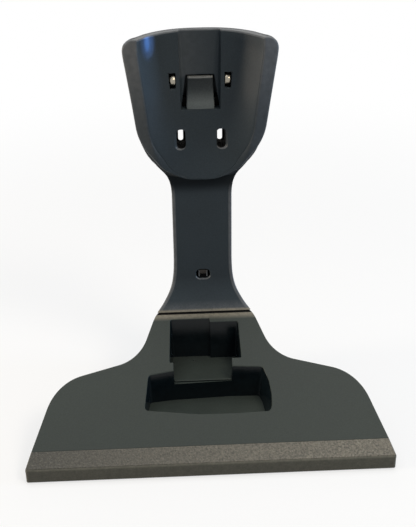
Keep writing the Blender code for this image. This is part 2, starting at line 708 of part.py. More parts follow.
# Rear cover
def cover_ring(z, inset, front_shift, rear_shift):
    level = max(z, COLUMN_LOW_Z)
    half = column_half(level)
    width = flank_half(level, REAR_Y - PARTING_DEPTH) - inset
    rear = flank_half(level, REAR_Y) - inset
    shares = [1.0, 0.84, 0.68, 0.54, 0.42, 0.25]
    ring = [(-share * width, parting(share * half, level) + front_shift, z) for share in shares]
    ring.append((0.0, parting(0.0, level) + front_shift, z))
    ring += [(share * width, parting(share * half, level) + front_shift, z) for share in reversed(shares)]
    edge = 1.5
    ring.append((rear, rear_surface(half, level) + rear_shift - edge, z))
    ring.append((rear - edge, rear_surface(half - edge, level) + rear_shift, z))
    for share in shares[1:]:
        ring.append((share * rear, rear_surface(share * half, level) + rear_shift, z))
    for share in reversed(shares[1:]):
        ring.append((-share * rear, rear_surface(share * half, level) + rear_shift, z))
    ring.append((-rear + edge, rear_surface(half - edge, level) + rear_shift, z))
    ring.append((-rear, rear_surface(half, level) + rear_shift - edge, z))
    return ring


COVER_LEVELS = NECK_LEVELS[:-2] + [z for z in HEAD_LEVELS if z > BIB_Z + 9.0]
rear_cover = loft("rear_cover", [cover_ring(z, 0.0, GAP, 0.0) for z in COVER_LEVELS], parts)
COVER_HOLLOW = [COLUMN_LOW_Z - 1.0] + COVER_LEVELS[1:-3] + [TOP_Z - 2.8]
cover_hollow = loft("cover_hollow", [cover_ring(z, SKIN, -2.0, -SKIN) for z in COVER_HOLLOW], tools)
cut(cover_hollow, *slot_tubes, name="tubes")
cover_seats = [rod_y(x, z, BOSS_RADIUS + 0.9, NECK_FRONT_Y - OUTSIDE, REAR_Y) for x, z in COVER_SCREWS]
cut(cover_hollow, *cover_seats, name="bosses")
combine(rear_cover, cover_hollow, "DIFFERENCE")
COUNTERBORE_Y = REAR_Y - 3.4
cover_holes = [rod_y(x, z, PILOT_RADIUS, NECK_FRONT_Y, REAR_Y + 2.0, 8) for x, z in COVER_SCREWS]
cover_holes.append(rod_y(0.0, JACK_Z, JACK_NOSE_RADIUS + 0.4, REAR_Y - SKIN - 1.0, REAR_Y + 3.0, 16))
counterbores = [rod_y(x, z, SCREW_HEAD_RADIUS + 0.4, COUNTERBORE_Y, REAR_Y + 3.0) for x, z in COVER_SCREWS]
for side in (-1, 1):
    well = slot_outline(side * SLOT_X, SLOT_HALF_WIDTH, SLOT_REAR_LOW_Z, SLOT_HIGH_Z, 1.2)
    cover_holes.append(prism_y(well, NECK_FRONT_Y, REAR_Y - SKIN))
    slot = slot_outline(side * SLOT_X, SLOT_REAR_HALF, SLOT_REAR_LOW_Z + 0.1, SLOT_HIGH_Z - 0.1, 1.2)
    counterbores.append(prism_y(slot, REAR_Y - SKIN - 0.5, REAR_Y + 3.0))
cut(rear_cover, *cover_holes, name="holes")
cut(rear_cover, *counterbores, name="counterbores")
finish(rear_cover, (0.043, 0.050, 0.057), 0.5)


# Screws: turned about their own axis, head up, origin at the underside of the head
def screw(name, point, turn, length):
    profile = [(0.0, SCREW_HEAD_HEIGHT), (SCREW_HEAD_RADIUS * 0.85, SCREW_HEAD_HEIGHT),
               (SCREW_HEAD_RADIUS, SCREW_HEAD_HEIGHT * 0.6), (SCREW_HEAD_RADIUS, 0.0),
               (SCREW_SHANK_RADIUS, 0.0), (SCREW_SHANK_RADIUS, 1.5 - length),
               (SCREW_SHANK_RADIUS * 0.5, -length), (0.0, -length)]
    item = turned(name, profile, ROUND_SIDES, parts)
    item.rotation_euler = (turn, 0.0, 0.0)
    item.location = frame_point(point)
    finish(item, (0.42, 0.42, 0.43), 0.35, 1.0)


TO_REAR = -math.pi / 2
DOWN = math.pi
cover_screw_seat = COUNTERBORE_Y + GAP
cover_screw_length = cover_screw_seat - NECK_FRONT_Y - SKIN
for i, (x, z) in enumerate(COVER_SCREWS):
    screw("rear_cover_screw_%d" % (i + 1), (x, cover_screw_seat, z), TO_REAR, cover_screw_length)

# Latch tongue
TONGUE_LOW_Z = CHANNEL_LOW_Z + GAP
TONGUE_REAR_Y = CHANNEL_BACK_Y - 0.2
tongue_height = TONGUE_TOP_Z - TONGUE_LOW_Z
TONGUE_FACE = [(0.0, 0.0), (0.35, 0.2), (0.62, 0.5), (0.82, 1.1), (0.94, 2.0), (1.0, 3.2)]
tongue_rings = []
for share, set_back in TONGUE_FACE:
    z = TONGUE_LOW_Z + tongue_height * share
    half = TONGUE_LOW_HALF + (TONGUE_TOP_HALF - TONGUE_LOW_HALF) * share
    face = cradle_y(CHANNEL_LOW_Z) + 0.2 + set_back
    edge = 1.1
    tongue_rings.append([(-half, face + edge + 0.5, z), (-half + edge, face + 0.5, z), (0.0, face, z),
                         (half - edge, face + 0.5, z), (half, face + edge + 0.5, z),
                         (half, TONGUE_REAR_Y, z), (-half, TONGUE_REAR_Y, z)])
latch_tongue = loft("latch_tongue", tongue_rings, parts, (0.0, TONGUE_REAR_Y, TONGUE_LOW_Z))
finish(latch_tongue, (0.047, 0.052, 0.058), 0.42)

# Contact leaves
LEAF_ROOT_Y = CARRIER_Y - GAP - LEAF_THICKNESS
leaf_crown_y = head_front(CONTACT_X, CONTACT_Z) - 0.4
LEAF_PATH = [(CARRIER_TOP_Z - 4.0, LEAF_ROOT_Y), (CARRIER_TOP_Z + 1.0, LEAF_ROOT_Y),
             (CONTACT_Z - 4.4, leaf_crown_y + 3.6), (CONTACT_Z - 2.8, leaf_crown_y + 1.1),
             (CONTACT_Z - 1.2, leaf_crown_y + 0.2), (CONTACT_Z, leaf_crown_y),
             (CONTACT_Z + 1.2, leaf_crown_y + 0.3), (CONTACT_Z + 2.8, leaf_crown_y + 1.6),
             (CONTACT_Z + 4.2, leaf_crown_y + 3.6)]


# Each leaf is a bent strip, drawn as its front surface and thickened backwards
def leaf(name, x):
    shape = bmesh.new()
    last = None
    for z, y in LEAF_PATH:
        pair = []
        for across in (-CONTACT_HALF_WIDTH, CONTACT_HALF_WIDTH):
            pair.append(shape.verts.new((across * MM, (y - LEAF_ROOT_Y) * MM, (z - CARRIER_TOP_Z) * MM)))
        if last:
            shape.faces.new([last[0], last[1], pair[1], pair[0]])
        last = pair
    mesh = bpy.data.meshes.new(name)
    shape.to_mesh(mesh)
    shape.free()
    item = link(name, mesh, parts)
    item.location = frame_point((x, LEAF_ROOT_Y, CARRIER_TOP_Z))
    thick = item.modifiers.new("thickness", "SOLIDIFY")
    thick.thickness = LEAF_THICKNESS * MM
    thick.offset = -1.0
    finish(item, (0.62, 0.60, 0.56), 0.28, 1.0)


leaf("contact_left", -CONTACT_X)
leaf("contact_right", CONTACT_X)

# Contact carrier and its screws
CARRIER_REAR_Y = CARRIER_Y + CARRIER_THICKNESS
carrier_block = box_shape(-CARRIER_HALF_WIDTH, CARRIER_HALF_WIDTH, CARRIER_Y, CARRIER_REAR_Y, CARRIER_LOW_Z,
                          CARRIER_TOP_Z)
contact_carrier = solids("contact_carrier", [carrier_block], parts)
for side, label in ((-1, "left"), (1, "right")):
    x = side * CARRIER_SCREW_X
    cut(contact_carrier, rod_y(x, CARRIER_SCREW_Z, PILOT_RADIUS, CARRIER_Y - 2.0, CARRIER_REAR_Y + 2.0, 8),
        name="hole_" + label)
    screw("carrier_screw_" + label, (x, CARRIER_REAR_Y + GAP, CARRIER_SCREW_Z), TO_REAR, CARRIER_SCREW_LENGTH)
finish(contact_carrier, (0.010, 0.010, 0.011), 0.6)

# Inlet jack, its pin and the two leads
JACK_FRONT_Y = NECK_FRONT_Y + SKIN + 0.8
JACK_REAR_Y = REAR_Y - SKIN - 0.4
JACK_NOSE_Y = REAR_Y - 0.6
dc_jack = solids("dc_jack", [box_shape(-JACK_HALF_WIDTH, JACK_HALF_WIDTH, JACK_FRONT_Y, JACK_REAR_Y,
                                       JACK_Z - JACK_HALF_HEIGHT, JACK_Z + JACK_HALF_HEIGHT)], parts)
add(dc_jack, rod_y(0.0, JACK_Z, JACK_NOSE_RADIUS, JACK_REAR_Y - 1.0, JACK_NOSE_Y, 16), name="nose")
JACK_BORE_Y = JACK_FRONT_Y + 2.0
cut(dc_jack, rod_y(0.0, JACK_Z, JACK_BORE_RADIUS, JACK_BORE_Y, REAR_Y + 2.0, 16), name="bore")
finish(dc_jack, (0.012, 0.012, 0.013), 0.4)
pin_rod = rod_y(0.0, JACK_Z, JACK_PIN_RADIUS, JACK_BORE_Y + GAP, JACK_NOSE_Y - 1.2, 8)
jack_pin = solids("jack_pin", [pin_rod], parts)
finish(jack_pin, (0.70, 0.66, 0.55), 0.25, 1.0)
LEAD_Y = NECK_FRONT_Y + SKIN + 3.6
jack_top = JACK_Z + JACK_HALF_HEIGHT + GAP
LEADS = [(-1, "lead_negative", (0.02, 0.02, 0.022)), (1, "lead_positive", (0.35, 0.02, 0.02))]
for side, label, colour in LEADS:
    tube_x = side * (SLOT_X + SLOT_HALF_WIDTH + SLOT_TUBE + LEAD_RADIUS + 1.2)
    path = [(side * CONTACT_X, LEAF_ROOT_Y - 1.6, CARRIER_TOP_Z - 4.5),
            (side * (CONTACT_X + 0.6), LEAF_ROOT_Y - 1.8, CARRIER_LOW_Z),
            (tube_x, LEAD_Y - 4.0, SLOT_HIGH_Z + 2.0), (tube_x, LEAD_Y - 4.0, SLOT_REAR_LOW_Z - 3.0),
            (side * 6.5, LEAD_Y, BIB_Z + 5.0), (side * 6.0, LEAD_Y, BIB_Z - 8.0),
            (side * 5.0, LEAD_Y, jack_top + 14.0), (side * 2.4, LEAD_Y, jack_top + 6.0),
            (side * 2.4, LEAD_Y, jack_top)]
    lead = wire(label, path, LEAD_RADIUS, parts)
    finish(lead, colour, 0.5)


# Base: its slope eases into the flat that the column stands on
def slope_z(y):
    if y <= STRIP_RUN:
        return FRONT_FACE_TOP + y * math.tan(STRIP_ANGLE)
    eased = max(0.0, min(y - EASE_START_Y, EASE_RUN))
    run = min(y, EASE_START_Y) - STRIP_RUN + eased - eased * eased / (2 * EASE_RUN)
    return STRIP_TOP_Z + run * math.tan(SLOPE_ANGLE)


def base_outline(inset):
    shoulder_y = SEAM_Y - SHOULDER_SETBACK
    right = [(BASE_HALF_WIDTH, 0.0), (BASE_HALF_WIDTH - SIDE_TAPER * shoulder_y, shoulder_y),
             (FOOT_HALF_WIDTH + WAIST_REACH, SEAM_Y - WAIST_SETBACK), (FOOT_HALF_WIDTH + 0.1, SEAM_Y + 1.0),
             (FOOT_REAR_HALF, REAR_Y)]
    radii = [max(0.5, CORNER_ROUND - inset), SHOULDER_ROUND - inset, WAIST_ROUND + inset, FLANK_ROUND + inset,
             max(0.5, 2 * CORNER_ROUND - inset)]
    corners = right + [(-x, y) for x, y in reversed(right)]
    return rounded(inset_corners(corners, inset), radii + radii[::-1], 5)


def inset_corners(corners, inset):
    moved = []
    for i, corner in enumerate(corners):
        here = Vector(corner)
        arriving = (here - Vector(corners[i - 1])).normalized()
        leaving = (Vector(corners[(i + 1) % len(corners)]) - here).normalized()
        inward = Vector((-arriving.y, arriving.x))
        middle = (inward + Vector((-leaving.y, leaving.x))).normalized()
        moved.append(tuple(here + middle * inset / middle.dot(inward)))
    return moved


def sky(drop):
    tilt = drop / math.cos(SLOPE_ANGLE)
    lead_in = drop / math.cos(STRIP_ANGLE)
    profile = [(-OUTSIDE, FRONT_FACE_TOP - OUTSIDE * math.tan(STRIP_ANGLE) - lead_in),
               (STRIP_RUN, STRIP_TOP_Z - tilt)]
    for share in (0.0, 0.33, 0.67, 1.0):
        y = EASE_START_Y + EASE_RUN * share
        profile.append((y, slope_z(y) - tilt))
    profile += [(DEPTH + OUTSIDE, SEAM_Z - tilt), (DEPTH + OUTSIDE, SEAM_Z + 2 * OUTSIDE),
                (-OUTSIDE, SEAM_Z + 2 * OUTSIDE)]
    return prism_x(profile, -BASE_HALF_WIDTH - OUTSIDE, BASE_HALF_WIDTH + OUTSIDE)


# Pocket outlines: floor x, floor y, rim x, rim y of each corner, with y measured from the pocket's back
LOWER_POCKET = [(-45.6, -28.4, -46.7, -29.0), (-8.7, -32.2, -8.7, -32.9), (19.5, -32.5, 20.0, -33.2),
                (41.0, -31.2, 44.4, -32.4), (41.3, -27.5, 45.8, -28.0), (41.3, -20.5, 46.2, -20.5),
                (40.6, -11.5, 45.0, -11.0), (38.9, -2.4, 41.4, -1.0), (17.5, -1.8, 18.8, 0.2),
                (-25.0, -4.1, -25.1, -1.8), (-42.8, -6.6, -43.6, -4.4), (-44.4, -17.5, -45.3, -17.0)]
UPPER_POCKET = [(-24.6, -42.0, -25.0, -42.0), (18.4, -42.0, 18.8, -42.0), (18.4, -28.0, 18.8, -28.0),
                (24.4, -27.8, 25.9, -27.8), (23.9, -2.6, 25.3, -0.2),
                (UPPER_STEP_X, -2.6, UPPER_STEP_X, -0.2),
                (UPPER_STEP_X - 0.4, 0.0, UPPER_STEP_X - 0.4, 2.4), (-25.0, 0.0, -26.3, 2.4),
                (-26.4, -29.6, -27.7, -29.8), (-24.6, -29.6, -25.0, -29.8)]
LOWER_BACK_Y = SEAM_Y - LOWER_BACK_SETBACK
UPPER_BACK_Y = SEAM_Y - UPPER_BACK_SETBACK
LOWER_FLOOR_Z = slope_z(LOWER_BACK_Y - LOWER_RUN) - LOWER_DROP
UPPER_FLOOR_Z = slope_z(UPPER_BACK_Y - UPPER_RUN) - UPPER_DROP


# Block left solid round a pocket: its rim's box with the pocket's wall added
def pocket_keep(outline, back_y, floor_z, front_y):
    left = min(corner[2] for corner in outline) - POCKET_WALL
    right = max(corner[2] for corner in outline) + POCKET_WALL
    rear = back_y + max(corner[3] for corner in outline) + POCKET_WALL
    return box_shape(left, right, front_y - POCKET_WALL, rear, floor_z - POCKET_WALL, SEAM_Z + OUTSIDE)


base_shell = solids("base_shell", [prism_z(base_outline(0.0), FOOT_DROP, SEAM_Z + OUTSIDE)], parts)
cut(base_shell, sky(0.0), name="slope")
base_hollow = solids("base_hollow", [prism_z(base_outline(BASE_WALL), 0.0, SEAM_Z + 0.7 * OUTSIDE)], tools)
cut(base_hollow, sky(BASE_WALL), name="roof")
lower_front = LOWER_BACK_Y + min(corner[3] for corner in LOWER_POCKET)
cut(base_hollow, pocket_keep(LOWER_POCKET, LOWER_BACK_Y, LOWER_FLOOR_Z, lower_front), name="lower_keep")
cut(base_hollow, pocket_keep(UPPER_POCKET, UPPER_BACK_Y, UPPER_FLOOR_Z, LOWER_BACK_Y - 3.4),
    name="upper_keep")
PLATE_TOP_Z = FOOT_DROP + PLATE_THICKNESS
plate_bosses = [rod_z(x, y, PLATE_BOSS_RADIUS, PLATE_TOP_Z + GAP, SEAM_Z + OUTSIDE) for x, y in PLATE_SCREWS]
cut(base_hollow, *plate_bosses, name="bosses")
strip_depth = (STRIP_THICKNESS + GAP) / math.cos(STRIP_ANGLE)
strip_keep = [(-1.0, FRONT_FACE_TOP - strip_depth - 4.0), (STRIP_RUN + 3.0, STRIP_TOP_Z - strip_depth - 2.0),
              (STRIP_RUN + 3.0, SEAM_Z), (-1.0, SEAM_Z)]
cut(base_hollow, prism_x(strip_keep, -BASE_HALF_WIDTH, BASE_HALF_WIDTH), name="strip_keep")
combine(base_shell, base_hollow, "DIFFERENCE")


# Pockets: each wall runs from a floor point up through a point of the rim on the slope
def pocket_shape(outline, back_y, floor_z, radii):
    top_z = SEAM_Z + 12.0
    floor = []
    roof = []
    for floor_x, floor_y, rim_x, rim_y in outline:
        grow = (top_z - floor_z) / (slope_z(back_y + rim_y) - floor_z)
        floor.append((floor_x, back_y + floor_y))
        roof.append((floor_x + (rim_x - floor_x) * grow, back_y + floor_y + (rim_y - floor_y) * grow))
    floor = rounded(floor, radii, 3)
    roof = rounded(roof, radii, 3)
    return loft_shape([[(x, y, floor_z) for x, y in floor], [(x, y, top_z) for x, y in roof]])


lower_rounds = [2.5, 0, 0, 2.5, 0, 0, 0, 3.0, 0, 0, 2.5, 0]
upper_rounds = [0, 0, 0, 1.0, 1.5, 0, 0, 1.5, 0.5, 0]
cut(base_shell, pocket_shape(LOWER_POCKET, LOWER_BACK_Y, LOWER_FLOOR_Z, lower_rounds), name="lower_pocket")
cut(base_shell, pocket_shape(UPPER_POCKET, UPPER_BACK_Y, UPPER_FLOOR_Z, upper_rounds), name="upper_pocket")
lip_bar_y = LOWER_BACK_Y - 0.4
add(base_shell, box_shape(-24.3, 18.1, lip_bar_y, lip_bar_y + LIP_BAR_WIDTH, UPPER_FLOOR_Z - 1.0,
                          UPPER_FLOOR_Z + LIP_BAR_HEIGHT), name="lip")
add(base_shell, rod_z(-8.6, UPPER_BACK_Y - 5.2, PIP_RADIUS, UPPER_FLOOR_Z - 1.0, UPPER_FLOOR_Z + 0.5, 8),
    name="pip")

# Recess of the textured strip, behind a thin front wall
recess_front = STRIP_FRONT_WALL
recess_back = STRIP_RUN + GAP / 2
recess = [(recess_front, FRONT_FACE_TOP + recess_front * math.tan(STRIP_ANGLE) - strip_depth),
          (recess_back, FRONT_FACE_TOP + recess_back * math.tan(STRIP_ANGLE) - strip_depth),
          (recess_back, STRIP_TOP_Z + 20.0), (recess_front, STRIP_TOP_Z + 20.0)]
cut(base_shell, prism_x(recess, -BASE_HALF_WIDTH - 5.0, BASE_HALF_WIDTH + 5.0), name="strip_recess")

# Spigot that enters the column, with a gap for the release catch
SPIGOT_FRONT_Y = NECK_FRONT_Y + SKIN + 0.6
SPIGOT_REAR_Y = REAR_Y - SKIN - 0.6
CATCH_FRONT_Y = NECK_FRONT_Y + SKIN + 0.5
CATCH_REAR_Y = CATCH_FRONT_Y + CATCH_THICKNESS
add(base_shell, box_shape(-SPIGOT_HALF_WIDTH, SPIGOT_HALF_WIDTH, SPIGOT_FRONT_Y, SPIGOT_REAR_Y, SEAM_Z - 1.5,
                          SEAM_Z + SPIGOT_HEIGHT), name="spigot")
cut(base_shell, box_shape(-CATCH_HALF_WIDTH - 0.6, CATCH_HALF_WIDTH + 0.6, SPIGOT_FRONT_Y - 3.0,
                          CATCH_REAR_Y + 4.0, SEAM_Z, SEAM_Z + SPIGOT_HEIGHT + 5.0), name="catch_gap")
plate_pilots = [rod_z(x, y, PILOT_RADIUS, 0.0, PLATE_TOP_Z + 6.5, 8) for x, y in PLATE_SCREWS]
cut(base_shell, *plate_pilots, name="pilots")
finish(base_shell, (0.085, 0.095, 0.088), 0.5)

# Textured strip
strip_drop = STRIP_THICKNESS / math.cos(STRIP_ANGLE)
strip_front = STRIP_FRONT_WALL + GAP
strip_back = STRIP_RUN - GAP / 2
strip_ring_low = []
strip_ring_high = []
for y, drop in ((strip_front, strip_drop), (strip_back, strip_drop), (strip_back, 0.0), (strip_front, 0.0)):
    z = FRONT_FACE_TOP + y * math.tan(STRIP_ANGLE) - drop
    reach = BASE_HALF_WIDTH - SIDE_TAPER * y - draw_back(y, CORNER_ROUND) - 0.1
    strip_ring_low.append((-reach, y, z))
    strip_ring_high.append((reach, y, z))
grip_strip = loft("grip_strip", [strip_ring_low, strip_ring_high], parts)
finish(grip_strip, (0.13, 0.115, 0.09), 0.85)

# Release catch
CATCH_LOW_Z = SEAM_Z + GAP
CATCH_TOP_Z = WINDOW_Z + WINDOW_HALF_HEIGHT - 0.9
nose_low = WINDOW_Z - 0.4
nose_front = NECK_FRONT_Y + 0.4
catch_blade = box_shape(-CATCH_HALF_WIDTH, CATCH_HALF_WIDTH, CATCH_FRONT_Y, CATCH_REAR_Y, CATCH_LOW_Z,
                        nose_low - 2.0)
release_catch = solids("release_catch", [catch_blade], parts, (0.0, CATCH_REAR_Y, CATCH_LOW_Z))
nose_profile = [(CATCH_FRONT_Y, nose_low - 3.0), (CATCH_FRONT_Y, nose_low), (nose_front, nose_low + 0.6),
                (nose_front, CATCH_TOP_Z - 1.2), (nose_front + 1.0, CATCH_TOP_Z), (CATCH_REAR_Y, CATCH_TOP_Z),
                (CATCH_REAR_Y, nose_low - 3.0)]
catch_nose = prism_x(nose_profile, -CATCH_NOSE_HALF + CATCH_RIB, CATCH_NOSE_HALF - CATCH_RIB)
add(release_catch, catch_nose, name="nose")
rib_profile = [(CATCH_FRONT_Y + 0.5, WINDOW_Z - 2.6), (nose_front + 0.2, WINDOW_Z - 2.3),
               (nose_front + 0.2, CATCH_TOP_Z - 1.6), (nose_front + 1.0, CATCH_TOP_Z - 0.4),
               (CATCH_REAR_Y - 0.2, CATCH_TOP_Z - 0.4), (CATCH_REAR_Y - 0.2, WINDOW_Z - 2.6)]
for side in (-1, 1):
    edges = sorted([side * CATCH_NOSE_HALF, side * (CATCH_NOSE_HALF - CATCH_RIB - 0.1)])
    add(release_catch, prism_x(rib_profile, *edges), name="rib_%d" % (side + 1))
finish(release_catch, (0.05, 0.052, 0.052), 0.45)

# Base plate, its screws and the feet
base_plate = solids("base_plate", [prism_z(base_outline(BASE_WALL + GAP), FOOT_DROP, PLATE_TOP_Z)], parts)
foot_front_x = BASE_HALF_WIDTH - FOOT_SIDE
foot_rear_y = REAR_Y - FOOT_REAR_SETBACK
FEET = {"foot_front_left": (-foot_front_x, FOOT_FRONT_Y), "foot_front_right": (foot_front_x, FOOT_FRONT_Y),
        "foot_rear_left": (-FOOT_REAR_X, foot_rear_y), "foot_rear_right": (FOOT_REAR_X, foot_rear_y)}
FOOT_TOP_Z = FOOT_DROP + FOOT_INSET
foot_recesses = [rod_z(x, y, FOOT_RADIUS + GAP, -1.0, FOOT_TOP_Z + GAP, 16) for x, y in FEET.values()]
plate_holes = [rod_z(x, y, PILOT_RADIUS, 0.0, PLATE_TOP_Z + 1.0, 8) for x, y in PLATE_SCREWS]
cut(base_plate, *foot_recesses, *plate_holes, name="holes")
PLATE_BORE_Z = FOOT_DROP + 2.2
cut(base_plate, *[rod_z(x, y, SCREW_HEAD_RADIUS + 0.4, -1.0, PLATE_BORE_Z) for x, y in PLATE_SCREWS],
    name="counterbores")
finish(base_plate, (0.03, 0.032, 0.034), 0.6)
for i, (x, y) in enumerate(PLATE_SCREWS):
    screw("base_plate_screw_%d" % (i + 1), (x, y, PLATE_BORE_Z - GAP), DOWN, PLATE_SCREW_LENGTH)
foot_profile = [(0.0, FOOT_TOP_Z), (FOOT_RADIUS, FOOT_TOP_Z), (FOOT_RADIUS, 0.5), (FOOT_RADIUS - 0.5, 0.0),
                (0.0, 0.0)]
for label, (x, y) in FEET.items():
    foot = turned(label, foot_profile, 16, parts)
    foot.location = frame_point((x, y, 0.0))
    finish(foot, (0.02, 0.02, 0.02), 0.85)
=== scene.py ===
import math

import bmesh
import bpy
from mathutils import Matrix, Vector, noise


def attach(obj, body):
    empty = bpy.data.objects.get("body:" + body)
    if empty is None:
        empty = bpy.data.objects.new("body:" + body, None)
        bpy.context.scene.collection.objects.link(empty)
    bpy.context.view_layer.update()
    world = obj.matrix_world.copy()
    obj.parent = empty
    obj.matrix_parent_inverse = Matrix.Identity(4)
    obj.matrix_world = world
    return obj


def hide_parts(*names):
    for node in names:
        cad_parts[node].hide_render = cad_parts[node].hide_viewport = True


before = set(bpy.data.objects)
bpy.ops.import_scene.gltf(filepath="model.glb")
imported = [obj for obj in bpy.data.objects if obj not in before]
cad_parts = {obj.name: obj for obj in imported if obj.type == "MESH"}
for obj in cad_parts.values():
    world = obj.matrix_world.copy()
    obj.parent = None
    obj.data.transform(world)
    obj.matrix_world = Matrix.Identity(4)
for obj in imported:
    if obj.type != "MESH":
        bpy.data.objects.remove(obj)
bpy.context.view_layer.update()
scene = bpy.context.scene

# Sizes in millimetres: x from the middle plane, y from the base's front face, z from the floor
MM = 0.001
BASE_HALF_WIDTH = 131.3
DEPTH = 134.0
TOP_Z = 287.0
GAP = 0.3
SKIN = 2.4
OUTSIDE = 30.0

# Column
REAR_Y = DEPTH
NECK_FRONT_Y = 119.0
NECK_HALF_WIDTH = 22.0
FOOT_HALF_WIDTH = 36.9
FOOT_REAR_HALF = 25.5
FLARE_HEIGHT = 32.0
NECK_SWEEP = 12.0
NECK_SWEEP_HEIGHT = 26.0
NECK_EDGE = 1.2
PARTING_DEPTH = 7.0
EDGE_PARTING = 4.5
TOP_PARTING = 2.9
SEAM_Y = NECK_FRONT_Y - NECK_SWEEP

# Base
FOOT_DROP = 0.6
FRONT_FACE_TOP = 10.5
STRIP_RUN = 11.8
STRIP_ANGLE = math.radians(33.0)
STRIP_THICKNESS = 1.8
STRIP_FRONT_WALL = 1.0
SLOPE_ANGLE = math.radians(29.0)
SEAM_EASE_FRONT = 6.0
SEAM_EASE_REAR = 2.0
SIDE_TAPER = 0.342
SHOULDER_Y = SEAM_Y - 48.2
WAIST_Y = SEAM_Y - 33.1
WAIST_REACH = 13.5
SHOULDER_ROUND = 35.0
WAIST_ROUND = 30.0
FRONT_CORNER = 1.5
REAR_CORNER = 3.0
LEAST_CORNER = 0.5
BASE_WALL = 2.6
PLATE_TOP_Z = FOOT_DROP + 3.0
STRIP_TOP_Z = FRONT_FACE_TOP + STRIP_RUN * math.tan(STRIP_ANGLE)
EASE_START_Y = SEAM_Y - SEAM_EASE_FRONT
EASE_RUN = SEAM_EASE_FRONT + SEAM_EASE_REAR
SEAM_Z = STRIP_TOP_Z + (EASE_START_Y + EASE_RUN / 2 - STRIP_RUN) * math.tan(SLOPE_ANGLE)
COLUMN_LOW_Z = SEAM_Z + GAP

# Head
HEAD_HALF_WIDTH = 52.1
HEAD_LOW_Z = TOP_Z - 122.0
BIB_Z = TOP_Z - 107.0
BIB_RISE = 13.0
CRADLE_TOP_Y = NECK_FRONT_Y - 1.03
CRADLE_LEAN = 0.0755
LIP_REACH = 24.0
LIP_SHARE = 0.195
LIP_THICKNESS = 9.5
LIP_TILT = 0.2
LIP_EDGE = 1.2
LIP_SHEET = 0.9
BACK_FLAT_HALF = NECK_HALF_WIDTH - 0.4
CORNER_DROP = 8.0
RIM_THICKNESS = 6.4
CREST_HEIGHT = 24.0
CREST_CORNER = 8.0
CREST_PULL = 0.35

# Channel, tongue, contacts
CHANNEL_FLOOR_Y = NECK_FRONT_Y
CHANNEL_HALF_WIDTH = 14.4
CHANNEL_LOW_HALF = 13.55
CHANNEL_LOW_Z = TOP_Z - 55.0
CHANNEL_SIDE_SLOPE = 0.03
CHANNEL_BACK_Y = CHANNEL_FLOOR_Y + 2.2
TONGUE_TOP_Z = CHANNEL_LOW_Z + 22.4
TONGUE_TOP_HALF = 8.8
TONGUE_LOW_HALF = 9.9
TONGUE_SLOT = 1.2
TONGUE_HOLE_LOW_HALF = CHANNEL_LOW_HALF - 0.1
CONTACT_X = 19.2
CONTACT_HALF_WIDTH = 1.9
CONTACT_Z = CHANNEL_LOW_Z + 21.0
CONTACT_WINDOW_HALF = CONTACT_HALF_WIDTH + 0.45
CONTACT_WINDOW_LOW = CONTACT_Z - 5.4
CONTACT_WINDOW_HIGH = CONTACT_Z + 5.6
LEAF_RELIEF_Y = CHANNEL_FLOOR_Y - 3.0
LEAF_THICKNESS = 0.5
CARRIER_TOP_Z = CHANNEL_LOW_Z + 6.0
CARRIER_SCREW_X = 8.0
CARRIER_SCREW_Z = CARRIER_TOP_Z - 12.0
CARRIER_Y = CHANNEL_BACK_Y + 1.7

# Wall-screw slots
SLOT_X = 14.2
SLOT_HALF_WIDTH = 3.2
SLOT_REAR_HALF = 1.8
SLOT_HIGH_Z = CHANNEL_LOW_Z - 14.0
SLOT_LOW_Z = SLOT_HIGH_Z - 14.2
SLOT_REAR_LOW_Z = SLOT_LOW_Z - 2.0
SLOT_TUBE = 1.7

# Catch window, screws, inlet
WINDOW_Z = SEAM_Z + 28.25
WINDOW_HALF_WIDTH = 5.3
WINDOW_HALF_HEIGHT = 4.2
WINDOW_EDGE = 2.2
CATCH_HALF_WIDTH = 6.0
CATCH_NOSE_HALF = WINDOW_HALF_WIDTH - WINDOW_EDGE + GAP
CATCH_RIB = 0.8
SCREW_HEAD_RADIUS = 2.6
SCREW_HEAD_HEIGHT = 1.8
SCREW_SHANK_RADIUS = 1.1
PILOT_RADIUS = 1.45
BOSS_RADIUS = 3.4
COVER_SCREWS = [(-20.0, TOP_Z - 22.0), (20.0, TOP_Z - 22.0), (0.0, BIB_Z + 15.0), (-14.0, BIB_Z - 40.0),
                (14.0, BIB_Z - 40.0)]
PLATE_SCREWS = [(24.0 - BASE_HALF_WIDTH, 20.0), (BASE_HALF_WIDTH - 24.0, 20.0), (-62.0, SEAM_Y - 51.0),
                (62.0, SEAM_Y - 51.0), (0.0, 20.0), (0.0, SEAM_Y - 19.0)]
COUNTERBORE_Y = REAR_Y - 3.4
PLATE_BORE_Z = FOOT_DROP + 2.2
JACK_Z = WINDOW_Z + 18.9
JACK_NOSE_RADIUS = 4.0
JACK_BORE_RADIUS = 2.8
FOOT_RADIUS = 7.0
FOOT_TOP_Z = FOOT_DROP + 1.1
FEET = {"foot_front_left": (30.0 - BASE_HALF_WIDTH, 36.0),
        "foot_front_right": (BASE_HALF_WIDTH - 30.0, 36.0),
        "foot_rear_left": (-15.0, REAR_Y - 16.0),
        "foot_rear_right": (15.0, REAR_Y - 16.0)}
SIDES = (-1, 1)


# Mesh helpers: each shape function returns a maker that adds one body to a mesh being built
def solids(name, makers):
    shape = bmesh.new()
    for make in makers:
        make(shape)
    bmesh.ops.translate(shape, verts=shape.verts[:], vec=(0.0, -DEPTH / 2, 0.0))
    bmesh.ops.scale(shape, verts=shape.verts[:], vec=(MM, MM, MM))
    bmesh.ops.recalc_face_normals(shape, faces=shape.faces[:])
    mesh = bpy.data.meshes.new(name)
    shape.to_mesh(mesh)
    shape.free()
    item = bpy.data.objects.new(name, mesh)
    scene.collection.objects.link(item)
    return item


